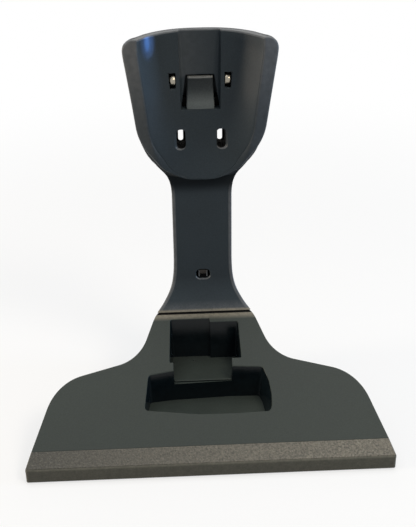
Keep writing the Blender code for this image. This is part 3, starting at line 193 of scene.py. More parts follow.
def box_shape(x0, x1, y0, y1, z0, z1):
    middle = Vector(((x0 + x1) / 2, (y0 + y1) / 2, (z0 + z1) / 2))
    size = (x1 - x0, y1 - y0, z1 - z0, 1.0)

    def make(shape):
        bmesh.ops.create_cube(shape, size=1.0, matrix=Matrix.Translation(middle) @ Matrix.Diagonal(size))
    return make


def rod_shape(low, high, radius, sides=32):
    run = Vector(high) - Vector(low)
    turn = run.to_track_quat("Z", "Y").to_matrix().to_4x4()
    middle = (Vector(low) + Vector(high)) / 2

    def make(shape):
        bmesh.ops.create_cone(shape, cap_ends=True, segments=sides, radius1=radius, radius2=radius,
                              depth=run.length, matrix=Matrix.Translation(middle) @ turn)
    return make


def rod_y(x, z, radius, front, rear, sides=32):
    return rod_shape((x, front, z), (x, rear, z), radius, sides)


def rod_z(x, y, radius, low, high, sides=32):
    return rod_shape((x, y, low), (x, y, high), radius, sides)


# Faces between two rows of corners, which may close into rings
def bridge(shape, low, high, closed=True):
    count = len(low)
    for i in range(count if closed else count - 1):
        j = (i + 1) % count
        shape.faces.new([low[i], low[j], high[j], high[i]])


def loft_shape(rings):
    def make(shape):
        made = [[shape.verts.new(point) for point in ring] for ring in rings]
        shape.faces.new(made[0])
        shape.faces.new(made[-1])
        for low, high in zip(made, made[1:]):
            bridge(shape, low, high)
    return make


def prism_z(outline, low, high):
    return loft_shape([[(x, y, low) for x, y in outline], [(x, y, high) for x, y in outline]])


def prism_y(outline, front, rear):
    return loft_shape([[(x, front, z) for x, z in outline], [(x, rear, z) for x, z in outline]])


def prism_x(outline, left, right):
    return loft_shape([[(left, y, z) for y, z in outline], [(right, y, z) for y, z in outline]])


# Body turned round the z axis of its place from pairs of radius and height
def turned_shape(profile, steps, place):
    turns = [2 * math.pi * i / steps for i in range(steps)]

    def make(shape):
        rings = []
        for radius, height in profile:
            ring = [(radius * math.cos(turn), radius * math.sin(turn), height) for turn in turns]
            if radius == 0.0:
                ring = ring[:1]
            rings.append([shape.verts.new(place @ Vector(point)) for point in ring])
        for low, high in zip(rings, rings[1:]):
            for i in range(steps):
                j = (i + 1) % steps
                corners = [low[i % len(low)], low[j % len(low)], high[j % len(high)], high[i % len(high)]]
                shape.faces.new(list(dict.fromkeys(corners)))
    return make


# Sine and cosine at even steps round a quarter circle
def quarter(steps, first=0):
    turns = [math.pi / 2 * i / steps for i in range(first, steps + 1)]
    return [(math.sin(turn), math.cos(turn)) for turn in turns]


def spread(start, run, steps, first=0):
    return [start + run * i / steps for i in range(first, steps + 1)]


# Level ring, the same left and right: its front from the middle outward, its back from the edge inward
def level_ring(front, back, z):
    left_front = [(-x, y, z) for x, y in reversed(front[1:])]
    left_back = [(-x, y, z) for x, y in reversed(back) if x > 0.0]
    return left_front + [(x, y, z) for x, y in front + back] + left_back


def rounded(points, radii, steps):
    outline = []
    count = len(points)
    if isinstance(steps, int):
        steps = [steps] * count
    for i, (point, radius, turns) in enumerate(zip(points, radii, steps)):
        here = Vector(point)
        if radius <= 0:
            outline.append(tuple(here))
            continue
        back = (Vector(points[i - 1]) - here).normalized()
        ahead = (Vector(points[(i + 1) % count]) - here).normalized()
        half = back.angle(ahead) / 2
        centre = here + (back + ahead).normalized() * radius / math.sin(half)
        start = here + back * radius / math.tan(half) - centre
        end = here + ahead * radius / math.tan(half) - centre
        first = math.atan2(start.y, start.x)
        sweep = (math.atan2(end.y, end.x) - first + math.pi) % (2 * math.pi) - math.pi
        for step in range(turns + 1):
            angle = first + sweep * step / turns
            outline.append((centre.x + radius * math.cos(angle), centre.y + radius * math.sin(angle)))
    return outline


def settle(item):
    graph = bpy.context.evaluated_depsgraph_get()
    mesh = bpy.data.meshes.new_from_object(item.evaluated_get(graph))
    old = item.data
    item.modifiers.clear()
    item.data = mesh
    bpy.data.meshes.remove(old)


def combine(item, other, operation):
    change = item.modifiers.new("change", "BOOLEAN")
    change.operation = operation
    change.solver = "EXACT"
    change.object = other
    settle(item)
    mesh = other.data
    bpy.data.objects.remove(other, do_unlink=True)
    bpy.data.meshes.remove(mesh)


def cut(item, *makers):
    combine(item, solids("cutter", makers), "DIFFERENCE")


def add(item, *makers):
    combine(item, solids("added", makers), "UNION")


def dress(item, body, material, nodes, sharp=32.0):
    for face in item.data.polygons:
        face.use_smooth = True
    item.data.set_sharp_from_angle(angle=math.radians(sharp))
    shading = item.modifiers.new("shading", "WEIGHTED_NORMAL")
    shading.keep_sharp = True
    settle(item)
    item.data.materials.clear()
    item.data.materials.append(material)
    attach(item, body)
    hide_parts(*nodes)


# Masks for the materials: a value for each face or point from its place in millimetres
def mark_faces(item, name, test):
    layer = item.data.attributes.new(name, "FLOAT", "FACE")
    for face in item.data.polygons:
        x, y, z = face.center / MM
        layer.data[face.index].value = 1.0 if test(x, y + DEPTH / 2, z, face.normal) else 0.0


def mark_points(item, name, measure):
    layer = item.data.attributes.new(name, "FLOAT", "POINT")
    for vert in item.data.vertices:
        x, y, z = vert.co / MM
        layer.data[vert.index].value = measure(x, y + DEPTH / 2, z)


# Smooth curve through stations
def smooth(stations, value):
    places = [s[0] for s in stations]
    heights = [s[1] for s in stations]
    if value <= places[0]:
        return heights[0]
    if value >= places[-1]:
        return heights[-1]
    steps = [(heights[i + 1] - heights[i]) / (places[i + 1] - places[i]) for i in range(len(places) - 1)]
    slopes = [steps[0]]
    for before, after in zip(steps, steps[1:]):
        slopes.append(0.0 if before * after <= 0 else 2 * before * after / (before + after))
    slopes.append(steps[-1])
    i = max(k for k in range(len(places) - 1) if places[k] <= value)
    width = places[i + 1] - places[i]
    t = (value - places[i]) / width
    return (heights[i] * (1 + 2 * t) * (1 - t) ** 2 + width * slopes[i] * t * (1 - t) ** 2
            + heights[i + 1] * t * t * (3 - 2 * t) + width * slopes[i + 1] * t * t * (t - 1))


def ease(value, low, high):
    t = max(0.0, min(1.0, (value - low) / (high - low)))
    return t * t * (3 - 2 * t)


# Column outline: shares of a width or a reach at shares of a height
FOOT_SHARE = [(0.0, 1.0), (0.05, 0.945), (0.192, 0.74), (0.333, 0.55), (0.473, 0.365), (0.63, 0.21),
              (0.76, 0.125), (0.91, 0.06), (1.1, 0.02), (1.3, 0.0)]
HEAD_SHARE = [(0.0, 0.0), (0.034, 0.01), (0.073, 0.035), (0.112, 0.092), (0.135, 0.15), (0.156, 0.226),
              (0.185, 0.332), (0.216, 0.438), (0.25, 0.528), (0.277, 0.582), (0.306, 0.625), (0.348, 0.678),
              (0.389, 0.721), (0.429, 0.757), (0.508, 0.794), (0.622, 0.844), (0.834, 0.953), (0.902, 0.99),
              (0.935, 1.0), (0.961, 0.978), (0.98, 0.92), (0.992, 0.86), (1.0, 0.79)]
BIB_SHARE = [(0.0, 0.10), (0.02, 0.22), (0.05, 0.33), (0.108, 0.453), (0.22, 0.575), (0.377, 0.685),
             (0.715, 0.82), (1.0, 0.85), (1.29, 0.872), (1.6, 0.91), (1.9, 0.948), (2.5, 0.985), (3.2, 1.0)]
REACH_SHARE = [(0.0, 0.0), (0.057, 0.0), (0.123, 0.02), (0.205, 0.075), (0.279, 0.167), (0.385, 0.354),
               (0.508, 0.562), (0.664, 0.77), (0.877, 0.94), (1.0, 0.99)]
CRADLE_POWER = 2.6
CREST_POWER = 2.2
BACK_POWER = 1.7


def head_place(z):
    return (z - HEAD_LOW_Z) / (TOP_Z - HEAD_LOW_Z)


def column_half(z):
    foot = smooth(FOOT_SHARE, (z - SEAM_Z) / FLARE_HEIGHT) * (FOOT_HALF_WIDTH - NECK_HALF_WIDTH)
    head = smooth(HEAD_SHARE, head_place(z)) * (HEAD_HALF_WIDTH - NECK_HALF_WIDTH)
    return NECK_HALF_WIDTH + foot + head


def flank_half(z, y):
    foot = smooth(FOOT_SHARE, (z - SEAM_Z) / FLARE_HEIGHT) * (FOOT_HALF_WIDTH - FOOT_REAR_HALF)
    return column_half(z) - foot * (y - SEAM_Y) / (REAR_Y - SEAM_Y)


def lip_inner(z):
    return column_half(min(z, TOP_Z - CORNER_DROP)) * (1 - LIP_SHARE)


def bib_share(z):
    return smooth(BIB_SHARE, (z - BIB_Z) / BIB_RISE)


def cradle_y(z):
    return CRADLE_TOP_Y - (TOP_Z - z) * CRADLE_LEAN


def lip_reach(z):
    return LIP_REACH * smooth(REACH_SHARE, head_place(z))


def head_front(x, z):
    inner = lip_inner(z)
    share = min(1.0, abs(x) / inner)
    return cradle_y(z) - lip_reach(z) * share ** CRADLE_POWER + LIP_TILT * max(0.0, abs(x) - inner)


def neck_front(z):
    below = max(0.0, 1 - (z - SEAM_Z) / NECK_SWEEP_HEIGHT)
    return NECK_FRONT_Y - NECK_SWEEP * below ** 2


def front_stretch(x, z):
    step = 0.2
    slope = (head_front(abs(x) + step, z) - head_front(abs(x) - step, z)) / (2 * step)
    return math.sqrt(1 + slope * slope)


# Small quarter round: how far a face draws back at a distance from its edge
def draw_back(distance, radius):
    inside = max(0.0, radius - distance)
    return radius - math.sqrt(max(0.0, radius * radius - inside * inside))


def crest_share(z):
    return max(0.0, (z - TOP_Z + CREST_HEIGHT) / CREST_HEIGHT) ** CREST_POWER


def edge_share(x, z):
    half = column_half(z)
    return min(1.0, max(0.0, abs(x) - BACK_FLAT_HALF) / max(half - BACK_FLAT_HALF, 1.0))


def edge_curl(z):
    return ease(z, BIB_Z + 6, BIB_Z + 46)


def rear_surface(x, z):
    edge = REAR_Y + (cradle_y(z) - lip_reach(z) + LIP_THICKNESS - REAR_Y) * edge_curl(z)
    full = REAR_Y - (REAR_Y - edge) * edge_share(x, z) ** BACK_POWER
    inner = lip_inner(z)
    steepest = front_stretch(min(abs(x), inner - 0.4), z)
    stretch = 1 + (steepest - 1) * (1 - ease(abs(x), 0.9 * inner, 1.2 * inner))
    corner = CREST_PULL * draw_back(column_half(z) - abs(x), CREST_CORNER)
    rim = head_front(x, z) + RIM_THICKNESS * stretch - corner
    return full - (full - rim) * crest_share(z)


def parting(x, z):
    depth = PARTING_DEPTH + (TOP_PARTING - PARTING_DEPTH) * crest_share(z)
    edge = max(0.0, depth - EDGE_PARTING)
    behind = rear_surface(x, z) - depth + edge * edge_share(x, z) * edge_curl(z)
    return max(behind, head_front(x, z) + LIP_EDGE + LIP_SHEET)


# Head of the front shell: the cradle with its channel as one fine surface
RIM_ROUND = 1.1
BIB_ROUND = 1.3
ROUND_STEPS = 4
CRADLE_STEPS = 16
LIP_STEPS = 4
BACK_SHARES = [1.0, 0.92, 0.84, 0.76, 0.68, 0.61, 0.54, 0.48, 0.42, 0.33, 0.25, 0.12]
WALL_SHARES = [0.08, 0.4, 0.7, 1.0]
WALL_TURN = 0.6
CHANNEL_ROUND = 0.35
CHANNEL_BEND = 0.29 * CHANNEL_ROUND
CHANNEL_HOLLOW = 3.4
HOLLOW_STEPS = 7
FLOOR_PLACES = [0.0, 3.6, 7.2]
NECK_MEET_Z = BIB_Z + 8.4
NECK_END_Z = BIB_Z + 10.0
NECK_TUCK = 0.3
NECK_HOLD = 1.5
SURFACE = None


def channel_half(z):
    share = (z - CHANNEL_LOW_Z) / (TOP_Z - CHANNEL_LOW_Z)
    return CHANNEL_LOW_HALF + (CHANNEL_HALF_WIDTH - CHANNEL_LOW_HALF) * share


# Nought where the neck runs up inside the head and one above it
def past_neck(z):
    return ease(z, NECK_END_Z - 2.0, NECK_END_Z)


# Stations across one half of the cradle: place, depth in the channel or SURFACE, and extra set-back
def cradle_stations(z):
    level = max(z, CHANNEL_LOW_Z)
    foot = channel_half(level)
    floor = CHANNEL_FLOOR_Y
    brink = head_front(foot, level)
    edge = foot + CHANNEL_SIDE_SLOPE * (floor - brink)
    hollow = min(CHANNEL_HOLLOW, 0.8 * (floor - brink - CHANNEL_ROUND))
    stations = [(x, floor, 0.0) for x in FLOOR_PLACES + [0.5 * (FLOOR_PLACES[-1] + foot - hollow)]]
    for sine, cosine in quarter(HOLLOW_STEPS):
        stations.append((foot - hollow + hollow * sine, floor - hollow + hollow * cosine, 0.0))
    stations += [(edge, brink + CHANNEL_ROUND, 0.0), (edge + CHANNEL_BEND, brink + CHANNEL_BEND, 0.0)]
    inner = lip_inner(z)
    near = edge + CHANNEL_ROUND
    stations += [(x, SURFACE, 0.0) for x in spread(near, inner - 0.8 - near, CRADLE_STEPS)]
    stations += [(inner - 0.3, SURFACE, 0.22), (inner + 0.4, SURFACE, 0.12)]
    face = inner + 0.9
    round_start = column_half(z) - LIP_EDGE
    stations += [(x, SURFACE, 0.0) for x in spread(face, round_start - face, LIP_STEPS)]
    for sine, cosine in quarter(ROUND_STEPS, 1):
        stations.append((round_start + LIP_EDGE * sine, SURFACE, LIP_EDGE * (1 - cosine)))
    return stations


def head_ring(z):
    top_round = draw_back(TOP_Z - z, RIM_ROUND)
    rim = top_round + draw_back(z - BIB_Z, BIB_ROUND)
    ledge = draw_back(CHANNEL_LOW_Z - z, CHANNEL_ROUND) if z < CHANNEL_LOW_Z else 0.0
    tuck = NECK_TUCK * (1 - ease(z, NECK_MEET_Z, BIB_Z + 12.0))
    outer = column_half(z) - top_round - tuck
    squeeze = bib_share(z) * (1 - top_round / column_half(z))
    front = []
    for x, depth, set_back in cradle_stations(z):
        place = x * squeeze
        y = head_front(place, z) + set_back
        if depth is not SURFACE:
            y = depth if z >= CHANNEL_LOW_Z else y + ledge
        front.append((place, y + rim))
    brim_x, brim_y = front[-1]
    hold = NECK_HOLD * (1 - past_neck(z))
    turn_run = (parting(outer, z) - hold - brim_y) * WALL_TURN
    back = [(brim_x + (outer - brim_x) * share, brim_y + turn_run * share) for share in WALL_SHARES]
    back += [(share * outer, parting(share * outer, z) - hold) for share in BACK_SHARES]
    return level_ring(front, back, z)


BIB_STEPS = [0.0, 0.2, 0.45, 0.8, 1.3, 1.9, 2.6, 3.4, 4.3, 5.3, 6.4, 7.6, 8.9, 10.2, 11.6, 13.0]
LEDGE_STEPS = [1.0, 0.35, 0.2, 0.1, 0.02, 0.0]
CREST_STEPS = [8.0, 7.0, 6.0, 5.0, 4.0, 3.2, 2.5, 1.8, 1.1, 0.75, 0.45, 0.2, 0.05, 0.0]
LOWER_RUN = CHANNEL_LOW_Z - 1.6 - (BIB_Z + BIB_RISE)
UPPER_RUN = TOP_Z - 9.0 - CHANNEL_LOW_Z
HEAD_LEVELS = [BIB_Z + step for step in BIB_STEPS]
HEAD_LEVELS += spread(BIB_Z + BIB_RISE, LOWER_RUN, 22, 1)
HEAD_LEVELS += [CHANNEL_LOW_Z - step for step in LEDGE_STEPS]
HEAD_LEVELS += spread(CHANNEL_LOW_Z, UPPER_RUN, 24, 1)
HEAD_LEVELS += [TOP_Z - step for step in CREST_STEPS]
front_shell = solids("column_front", [loft_shape([head_ring(z) for z in HEAD_LEVELS])])


# Painted highlights: the lips, most at their upper ends, the rim, the channel's floor (lighter to the left)
# and its left wall, and the neck's two edges
RIM_HIGHLIGHT = 0.9
CHANNEL_WALL_HIGHLIGHT = 0.35
CHANNEL_FLOOR_HIGHLIGHT = 0.26
CHANNEL_FLOOR_HIGHLIGHT_FALL = 0.018


def painted_highlight(x, y, z):
    if z < BIB_Z - 4.0:
        corner = flank_half(z, neck_front(z)) - abs(x)
        return 1.0 if 0.05 < corner < NECK_EDGE + 1.0 and y < neck_front(z) + NECK_EDGE else 0.0
    if z > TOP_Z - RIM_ROUND:
        return RIM_HIGHLIGHT
    if y > CHANNEL_FLOOR_Y - 0.5 and z > TONGUE_TOP_Z + 2.0 and abs(x) < CHANNEL_LOW_HALF - CHANNEL_HOLLOW:
        return CHANNEL_FLOOR_HIGHLIGHT - CHANNEL_FLOOR_HIGHLIGHT_FALL * x
    if z > TONGUE_TOP_Z and 1 - CHANNEL_HALF_WIDTH - CHANNEL_HOLLOW < x < 0 and y > head_front(x, z) + 0.3:
        return CHANNEL_WALL_HIGHLIGHT
    if z < BIB_Z + 2.0 or abs(x) < lip_inner(z) * bib_share(z) or y > head_front(x, z) + LIP_EDGE:
        return 0.0
    return 0.35 * ease(z, BIB_Z + 8.0, BIB_Z + 32.0) + 0.65 * ease(z, BIB_Z + 40.0, TOP_Z)


# Painted shade: the neck right under the bib, where the bib shades it, and the head's side walls that turn
# down to it
def painted_bib_shade(x, y, z):
    if z < BIB_Z:
        return ease(z, BIB_Z - 17.0, BIB_Z - 5.0) if y > NECK_FRONT_Y - 1.0 else 0.0
    if y < head_front(x, z) + LIP_EDGE + 0.02:
        return 0.0
    return 1 - ease(z, BIB_Z + 20.0, BIB_Z + 45.0)


# Lower edges of the catch window and the wall slots, which catch the light, get a painted highlight
def painted_rim_highlight(x, y, z, normal):
    if normal.z <= 0.3:
        return False
    window_low = WINDOW_Z - WINDOW_HALF_HEIGHT - 0.8
    if abs(x) < WINDOW_HALF_WIDTH + 0.7 and window_low < z < WINDOW_Z - 1.0:
        return y < NECK_FRONT_Y + 0.62
    beside = abs(abs(x) - SLOT_X) < SLOT_HALF_WIDTH + 0.6
    return beside and SLOT_LOW_Z - 0.8 < z < SLOT_LOW_Z + 3.0 and y < head_front(x, z) + 0.7


# Inside of the two wall slots, which no light reaches, painted black as shade
def inside_slot(x, y, z, normal):
    across = abs(abs(x) - SLOT_X) < SLOT_HALF_WIDTH + 0.1
    along = SLOT_REAR_LOW_Z - 9.0 < z < SLOT_HIGH_Z + 9.0
    return across and along and head_front(x, z) + 0.9 < y < REAR_Y - 0.1


# Neck of the front shell, which stands a shadow line clear of the base
LOW_ROUND = 0.6
LOW_SHARES = [0.0, 0.08, 0.25, 0.5, 0.75, 1.0]
NECK_LOW_Z = COLUMN_LOW_Z + 0.9
NECK_SINK = 2.0
EDGE_STRIPS = [1.5, 0.8]


def neck_half(z):
    if z < HEAD_LOW_Z:
        return column_half(z)
    return min(column_half(z), column_half(NECK_MEET_Z))


def neck_ring(z, inset, front, back, edge, low_round=0.0):
    level = max(z, NECK_LOW_Z)
    half = min(neck_half(level), flank_half(level, front)) - inset
    rear = min(neck_half(level), flank_half(level, back)) - inset
    face = [(0.0, front + low_round)] + [(half - edge - strip, front + low_round) for strip in EDGE_STRIPS]
    for sine, cosine in quarter(ROUND_STEPS):
        face.append((half - edge + edge * sine, front + edge * (1 - cosine) + low_round))
    return level_ring(face, [(rear, back), (0.0, back)], z)


NECK_LEVELS = [NECK_LOW_Z + LOW_ROUND * share for share in LOW_SHARES] + spread(SEAM_Z + 2.0, 42.0, 30)
NECK_LEVELS += [SEAM_Z + 50.0, SEAM_Z + 70.0, HEAD_LOW_Z - 4.0]
NECK_LEVELS += spread(HEAD_LOW_Z, 25.0, 20)[:-1] + [NECK_END_Z, BIB_Z + 16.0]
neck_rings = []
for z in NECK_LEVELS:
    back = REAR_Y - PARTING_DEPTH - NECK_SINK * past_neck(z)
    low_round = draw_back(z - NECK_LOW_Z, LOW_ROUND)
    neck_rings.append(neck_ring(z, 0.0, neck_front(z), back, NECK_EDGE, low_round))
add(front_shell, loft_shape(neck_rings))

# Hollow of the front shell, kept clear of bosses and slot tubes
CHANNEL_SHELF_HALF = CHANNEL_HALF_WIDTH + SKIN
CAVITY_FRONT = [0.25, 0.45, 0.6, 0.7, 0.78, 0.84]
CAVITY_BACK = [1.0, 0.84, 0.68, 0.54, 0.42, 0.25]
SHELF_SHARES = [0.0, 0.3, 0.55, 0.8, 1.0]
BEFORE_NECK_Y = NECK_FRONT_Y - OUTSIDE
BEHIND_CHANNEL_Y = CHANNEL_BACK_Y + 1.0
TUBE_EDGE = 1.5
BOSS_SIDES = 16
PILOT_SIDES = 12


def cavity_ring(z, behind_channel):
    half = column_half(z) * bib_share(z) - SKIN - 0.2
    if behind_channel:
        front = [(CHANNEL_SHELF_HALF * share, CHANNEL_BACK_Y) for share in (0.0, 0.5, 1.0)]
        run = lip_inner(z) * 0.96 - CHANNEL_SHELF_HALF
        places = [CHANNEL_SHELF_HALF + run * share for share in SHELF_SHARES]
    else:
        front = [(0.0, cradle_y(z) + SKIN)]
        places = [half * share for share in CAVITY_FRONT]
    front += [(x, head_front(x, z) + SKIN * front_stretch(x, z)) for x in places]
    front.append((half, max(head_front(half, z) + SKIN, front[-1][1] - 0.5 * SKIN)))
    back = [(share * half, parting(share * half, z) + 2.0) for share in CAVITY_BACK]
    return level_ring(front, back, z)


def slot_outline(x, half, low, high, edge, steps=1):
    corners = [(x - half, low), (x + half, low), (x + half, high), (x - half, high)]
    return rounded(corners, [edge] * 4, steps)


def cover_rods(radius, front, rear, sides):
    return [rod_y(x, z, radius, front, rear, sides) for x, z in COVER_SCREWS]


def carrier_rods(radius, front, rear, sides):
    return [rod_y(side * CARRIER_SCREW_X, CARRIER_SCREW_Z, radius, front, rear, sides) for side in SIDES]


LOWER_CAVITY = [BIB_Z + 4.0 + 46.0 * s for s in (0.0, 0.065, 0.13, 0.217, 0.326, 0.457, 0.63, 0.826, 1.0)]
UPPER_CAVITY = [CHANNEL_LOW_Z + rise for rise in (-2.4, 12, 28, 42)]
UPPER_CAVITY += [TOP_Z - drop for drop in (9.0, 5.5, 2.8)]
NECK_CAVITY = [COLUMN_LOW_Z - 1.0] + [SEAM_Z + rise for rise in (5.0, 9.0, 14.0, 20.0, 26.0, 34.0, 44.0)]
NECK_CAVITY += [BIB_Z + rise for rise in (-14.0, -4.0, 1.0, 5.0, 7.5)]
hollow = solids("hollow", [loft_shape([cavity_ring(z, False) for z in LOWER_CAVITY])])
add(hollow, loft_shape([cavity_ring(z, True) for z in UPPER_CAVITY]))
leaf_reliefs = []
slot_tubes = []
for side in SIDES:
    middle = side * CONTACT_X
    leaf_reliefs.append(box_shape(middle - CONTACT_WINDOW_HALF, middle + CONTACT_WINDOW_HALF, LEAF_RELIEF_Y,
                                  BEHIND_CHANNEL_Y, CHANNEL_LOW_Z - 3.6, CONTACT_WINDOW_HIGH))
    outline = slot_outline(side * SLOT_X, SLOT_HALF_WIDTH + SLOT_TUBE, SLOT_REAR_LOW_Z - SLOT_TUBE,
                           SLOT_HIGH_Z + SLOT_TUBE, TUBE_EDGE)
    slot_tubes.append(prism_y(outline, BEFORE_NECK_Y, REAR_Y))
add(hollow, *leaf_reliefs)
cover_bosses = cover_rods(BOSS_RADIUS, BEFORE_NECK_Y, REAR_Y, BOSS_SIDES)
cut(hollow, *slot_tubes, *cover_bosses)
cut(hollow, *carrier_rods(BOSS_RADIUS - 0.4, BEFORE_NECK_Y, CARRIER_Y - GAP, BOSS_SIDES))
combine(front_shell, hollow, "DIFFERENCE")
neck_rings = []
for z in NECK_CAVITY:
    front = neck_front(max(z, COLUMN_LOW_Z)) + SKIN
    neck_rings.append(neck_ring(z, SKIN, front, REAR_Y - PARTING_DEPTH + 3.0, 0.6))
neck_hollow = solids("neck_hollow", [loft_shape(neck_rings)])
cut(neck_hollow, *cover_bosses)
combine(front_shell, neck_hollow, "DIFFERENCE")

# Openings of the front shell, each with a broken edge where it meets the surface
FLARE_REACH = 10
WINDOW_SIGHT = 3.9
WINDOW_CORNER = 3.2
WINDOW_FLARE = 0.6
SLOT_CORNER = 2.9
SLOT_FLARE = 0.45
CONTACT_CORNER = 0.5
CONTACT_FLARE = 0.12
HOLE_CORNER = 0.8


def flared(x, half, low, high, edge, surface, rear, flare, steps, rear_low=None):
    reach = FLARE_REACH * flare
    wide = slot_outline(x, half + reach, low - reach, high + reach, edge + reach, steps)
    near = slot_outline(x, half, low, high, edge, steps)
    far = slot_outline(x, half, low if rear_low is None else rear_low, high, edge, steps)
    depths = [surface - (FLARE_REACH - 1) * flare, surface + flare, rear]
    return loft_shape([[(a, y, b) for a, b in outline] for y, outline in zip(depths, (wide, near, far))])


hole_top_half = TONGUE_TOP_HALF + TONGUE_SLOT
hole_top_z = TONGUE_TOP_Z + TONGUE_SLOT
tongue_hole = [(-TONGUE_HOLE_LOW_HALF, CHANNEL_LOW_Z), (TONGUE_HOLE_LOW_HALF, CHANNEL_LOW_Z),
               (hole_top_half, hole_top_z), (-hole_top_half, hole_top_z)]
tongue_hole = rounded(tongue_hole, [0.0, 0.0, HOLE_CORNER, HOLE_CORNER], 4)
openings = [prism_y(tongue_hole, CHANNEL_FLOOR_Y - 3.0, BEHIND_CHANNEL_Y)]
contact_face = head_front(CONTACT_X, CONTACT_Z)
slot_face = head_front(SLOT_X, (SLOT_LOW_Z + SLOT_HIGH_Z) / 2)
for side in SIDES:
    openings.append(flared(side * CONTACT_X, CONTACT_WINDOW_HALF, CONTACT_WINDOW_LOW, CONTACT_WINDOW_HIGH,
                           CONTACT_CORNER, contact_face, BEHIND_CHANNEL_Y, CONTACT_FLARE, 3))
    openings.append(flared(side * SLOT_X, SLOT_HALF_WIDTH, SLOT_LOW_Z, SLOT_HIGH_Z, SLOT_CORNER, slot_face,
                           REAR_Y, SLOT_FLARE, 8, SLOT_REAR_LOW_Z))
openings += carrier_rods(PILOT_RADIUS, CARRIER_Y - 6.0, REAR_Y, PILOT_SIDES)
openings += cover_rods(PILOT_RADIUS, NECK_FRONT_Y + 1.2, REAR_Y, PILOT_SIDES)
openings.append(flared(0.0, WINDOW_HALF_WIDTH, WINDOW_Z - WINDOW_SIGHT, WINDOW_Z + WINDOW_SIGHT,
                       WINDOW_CORNER, NECK_FRONT_Y, NECK_FRONT_Y + SKIN + 1.0, WINDOW_FLARE, 8))
cut(front_shell, *openings)
mark_points(front_shell, "highlight_paint", painted_highlight)
mark_points(front_shell, "painted_bib_shade", painted_bib_shade)
mark_faces(front_shell, "rim_highlight_paint", painted_rim_highlight)
mark_faces(front_shell, "shade", inside_slot)


# Rear cover
COVER_SHARES = [1.0 - 0.06 * i for i in range(1, 15)] + [0.1]
COVER_FRONT = [0.0] + COVER_SHARES[::-1] + [1.0]
COVER_EDGE = 1.5
COVER_LEAST = 0.4
COVER_FLAT = COVER_EDGE + 0.3
CREST_ROUND = 0.8
CREST_SQUEEZE = 0.7


def cover_ring(z, inset, front_shift, rear_shift, round_top=True):
    level = max(z, COLUMN_LOW_Z)
    half = column_half(level)
    back_off = draw_back(TOP_Z - z, CREST_ROUND) if round_top else 0.0
    inset += back_off * CREST_SQUEEZE
    width = flank_half(level, REAR_Y - PARTING_DEPTH) - inset
    rear = flank_half(level, REAR_Y) - inset
    front = [(share * width, parting(share * half, level) + front_shift) for share in COVER_FRONT]
    back = []
    for sine, cosine in quarter(ROUND_STEPS):
        out = COVER_EDGE * (1 - cosine)
        back.append((rear - out, rear_surface(half - out, level) - COVER_EDGE * (1 - sine)))
    for share in COVER_SHARES:
        if share * rear < rear - COVER_FLAT:
            back.append((share * rear, rear_surface(share * half, level)))
        else:
            back.append((rear - COVER_FLAT, rear_surface(half - COVER_FLAT, level)))
    least = front_shift + COVER_LEAST
    back = [(x, max(y + rear_shift - back_off, parting(x, level) + least)) for x, y in back]
    return level_ring(front, back, z)


COVER_LEVELS = NECK_LEVELS[:-2] + [z for z in HEAD_LEVELS if z > BIB_Z + 9.0]
HEAD_RISES = [0.0, 8.0, 15.0, 22.0, 30.0, 40.0, 52.0, 66.0, 82.0, 98.0, 106.0, 112.0, 117.0, 119.2]
COVER_HOLLOW = [COLUMN_LOW_Z - 1.0] + [SEAM_Z + rise for rise in (4.0, 9.0, 14.0, 20.0, 26.0, 34.0, 44.0)]
COVER_HOLLOW += [HEAD_LOW_Z + rise for rise in HEAD_RISES]
BEHIND_Y = REAR_Y + 3.0
rear_cover = solids("column_rear", [loft_shape([cover_ring(z, 0.0, GAP, 0.0) for z in COVER_LEVELS])])
hollow_rings = [cover_ring(z, SKIN, -2.0, -SKIN, False) for z in COVER_HOLLOW]
cover_hollow = solids("cover_hollow", [loft_shape(hollow_rings)])
cut(cover_hollow, *slot_tubes, *cover_rods(BOSS_RADIUS + 0.9, BEFORE_NECK_Y, REAR_Y, BOSS_SIDES))
combine(rear_cover, cover_hollow, "DIFFERENCE")
cover_holes = cover_rods(PILOT_RADIUS, NECK_FRONT_Y, REAR_Y + 2.0, 16)
cover_holes.append(rod_y(0.0, JACK_Z, JACK_NOSE_RADIUS + 0.4, REAR_Y - SKIN - 1.0, BEHIND_Y, 40))
counterbores = cover_rods(SCREW_HEAD_RADIUS + 0.4, COUNTERBORE_Y, BEHIND_Y, 32)
for side in SIDES:
    well = slot_outline(side * SLOT_X, SLOT_HALF_WIDTH, SLOT_REAR_LOW_Z, SLOT_HIGH_Z, SLOT_CORNER, 8)
    cover_holes.append(prism_y(well, NECK_FRONT_Y, REAR_Y - SKIN))
    slot = slot_outline(side * SLOT_X, SLOT_REAR_HALF, SLOT_REAR_LOW_Z + 0.1, SLOT_HIGH_Z - 0.1, 1.7, 8)
    counterbores.append(prism_y(slot, REAR_Y - SKIN - 0.5, BEHIND_Y))
cut(rear_cover, *cover_holes)
cut(rear_cover, *counterbores)
mark_faces(rear_cover, "shade", inside_slot)


# Base: sloped block with a rounded upper edge, hollow, with two pockets
def strip_z(y):
    return FRONT_FACE_TOP + y * math.tan(STRIP_ANGLE)


def slope_z(y):
    if y <= STRIP_RUN:
        return strip_z(y)
    eased = max(0.0, min(y - EASE_START_Y, EASE_RUN))
    run = min(y, EASE_START_Y) - STRIP_RUN + eased - eased * eased / (2 * EASE_RUN)
    return STRIP_TOP_Z + run * math.tan(SLOPE_ANGLE)


def inset_corners(corners, inset):
    moved = []
    for i, corner in enumerate(corners):
        here = Vector(corner)
        arriving = (here - Vector(corners[i - 1])).normalized()
        leaving = (Vector(corners[(i + 1) % len(corners)]) - here).normalized()
        inward = Vector((-arriving.y, arriving.x))
        middle = (inward + Vector((-leaving.y, leaving.x))).normalized()
        moved.append(tuple(here + middle * inset / middle.dot(inward)))
    return moved


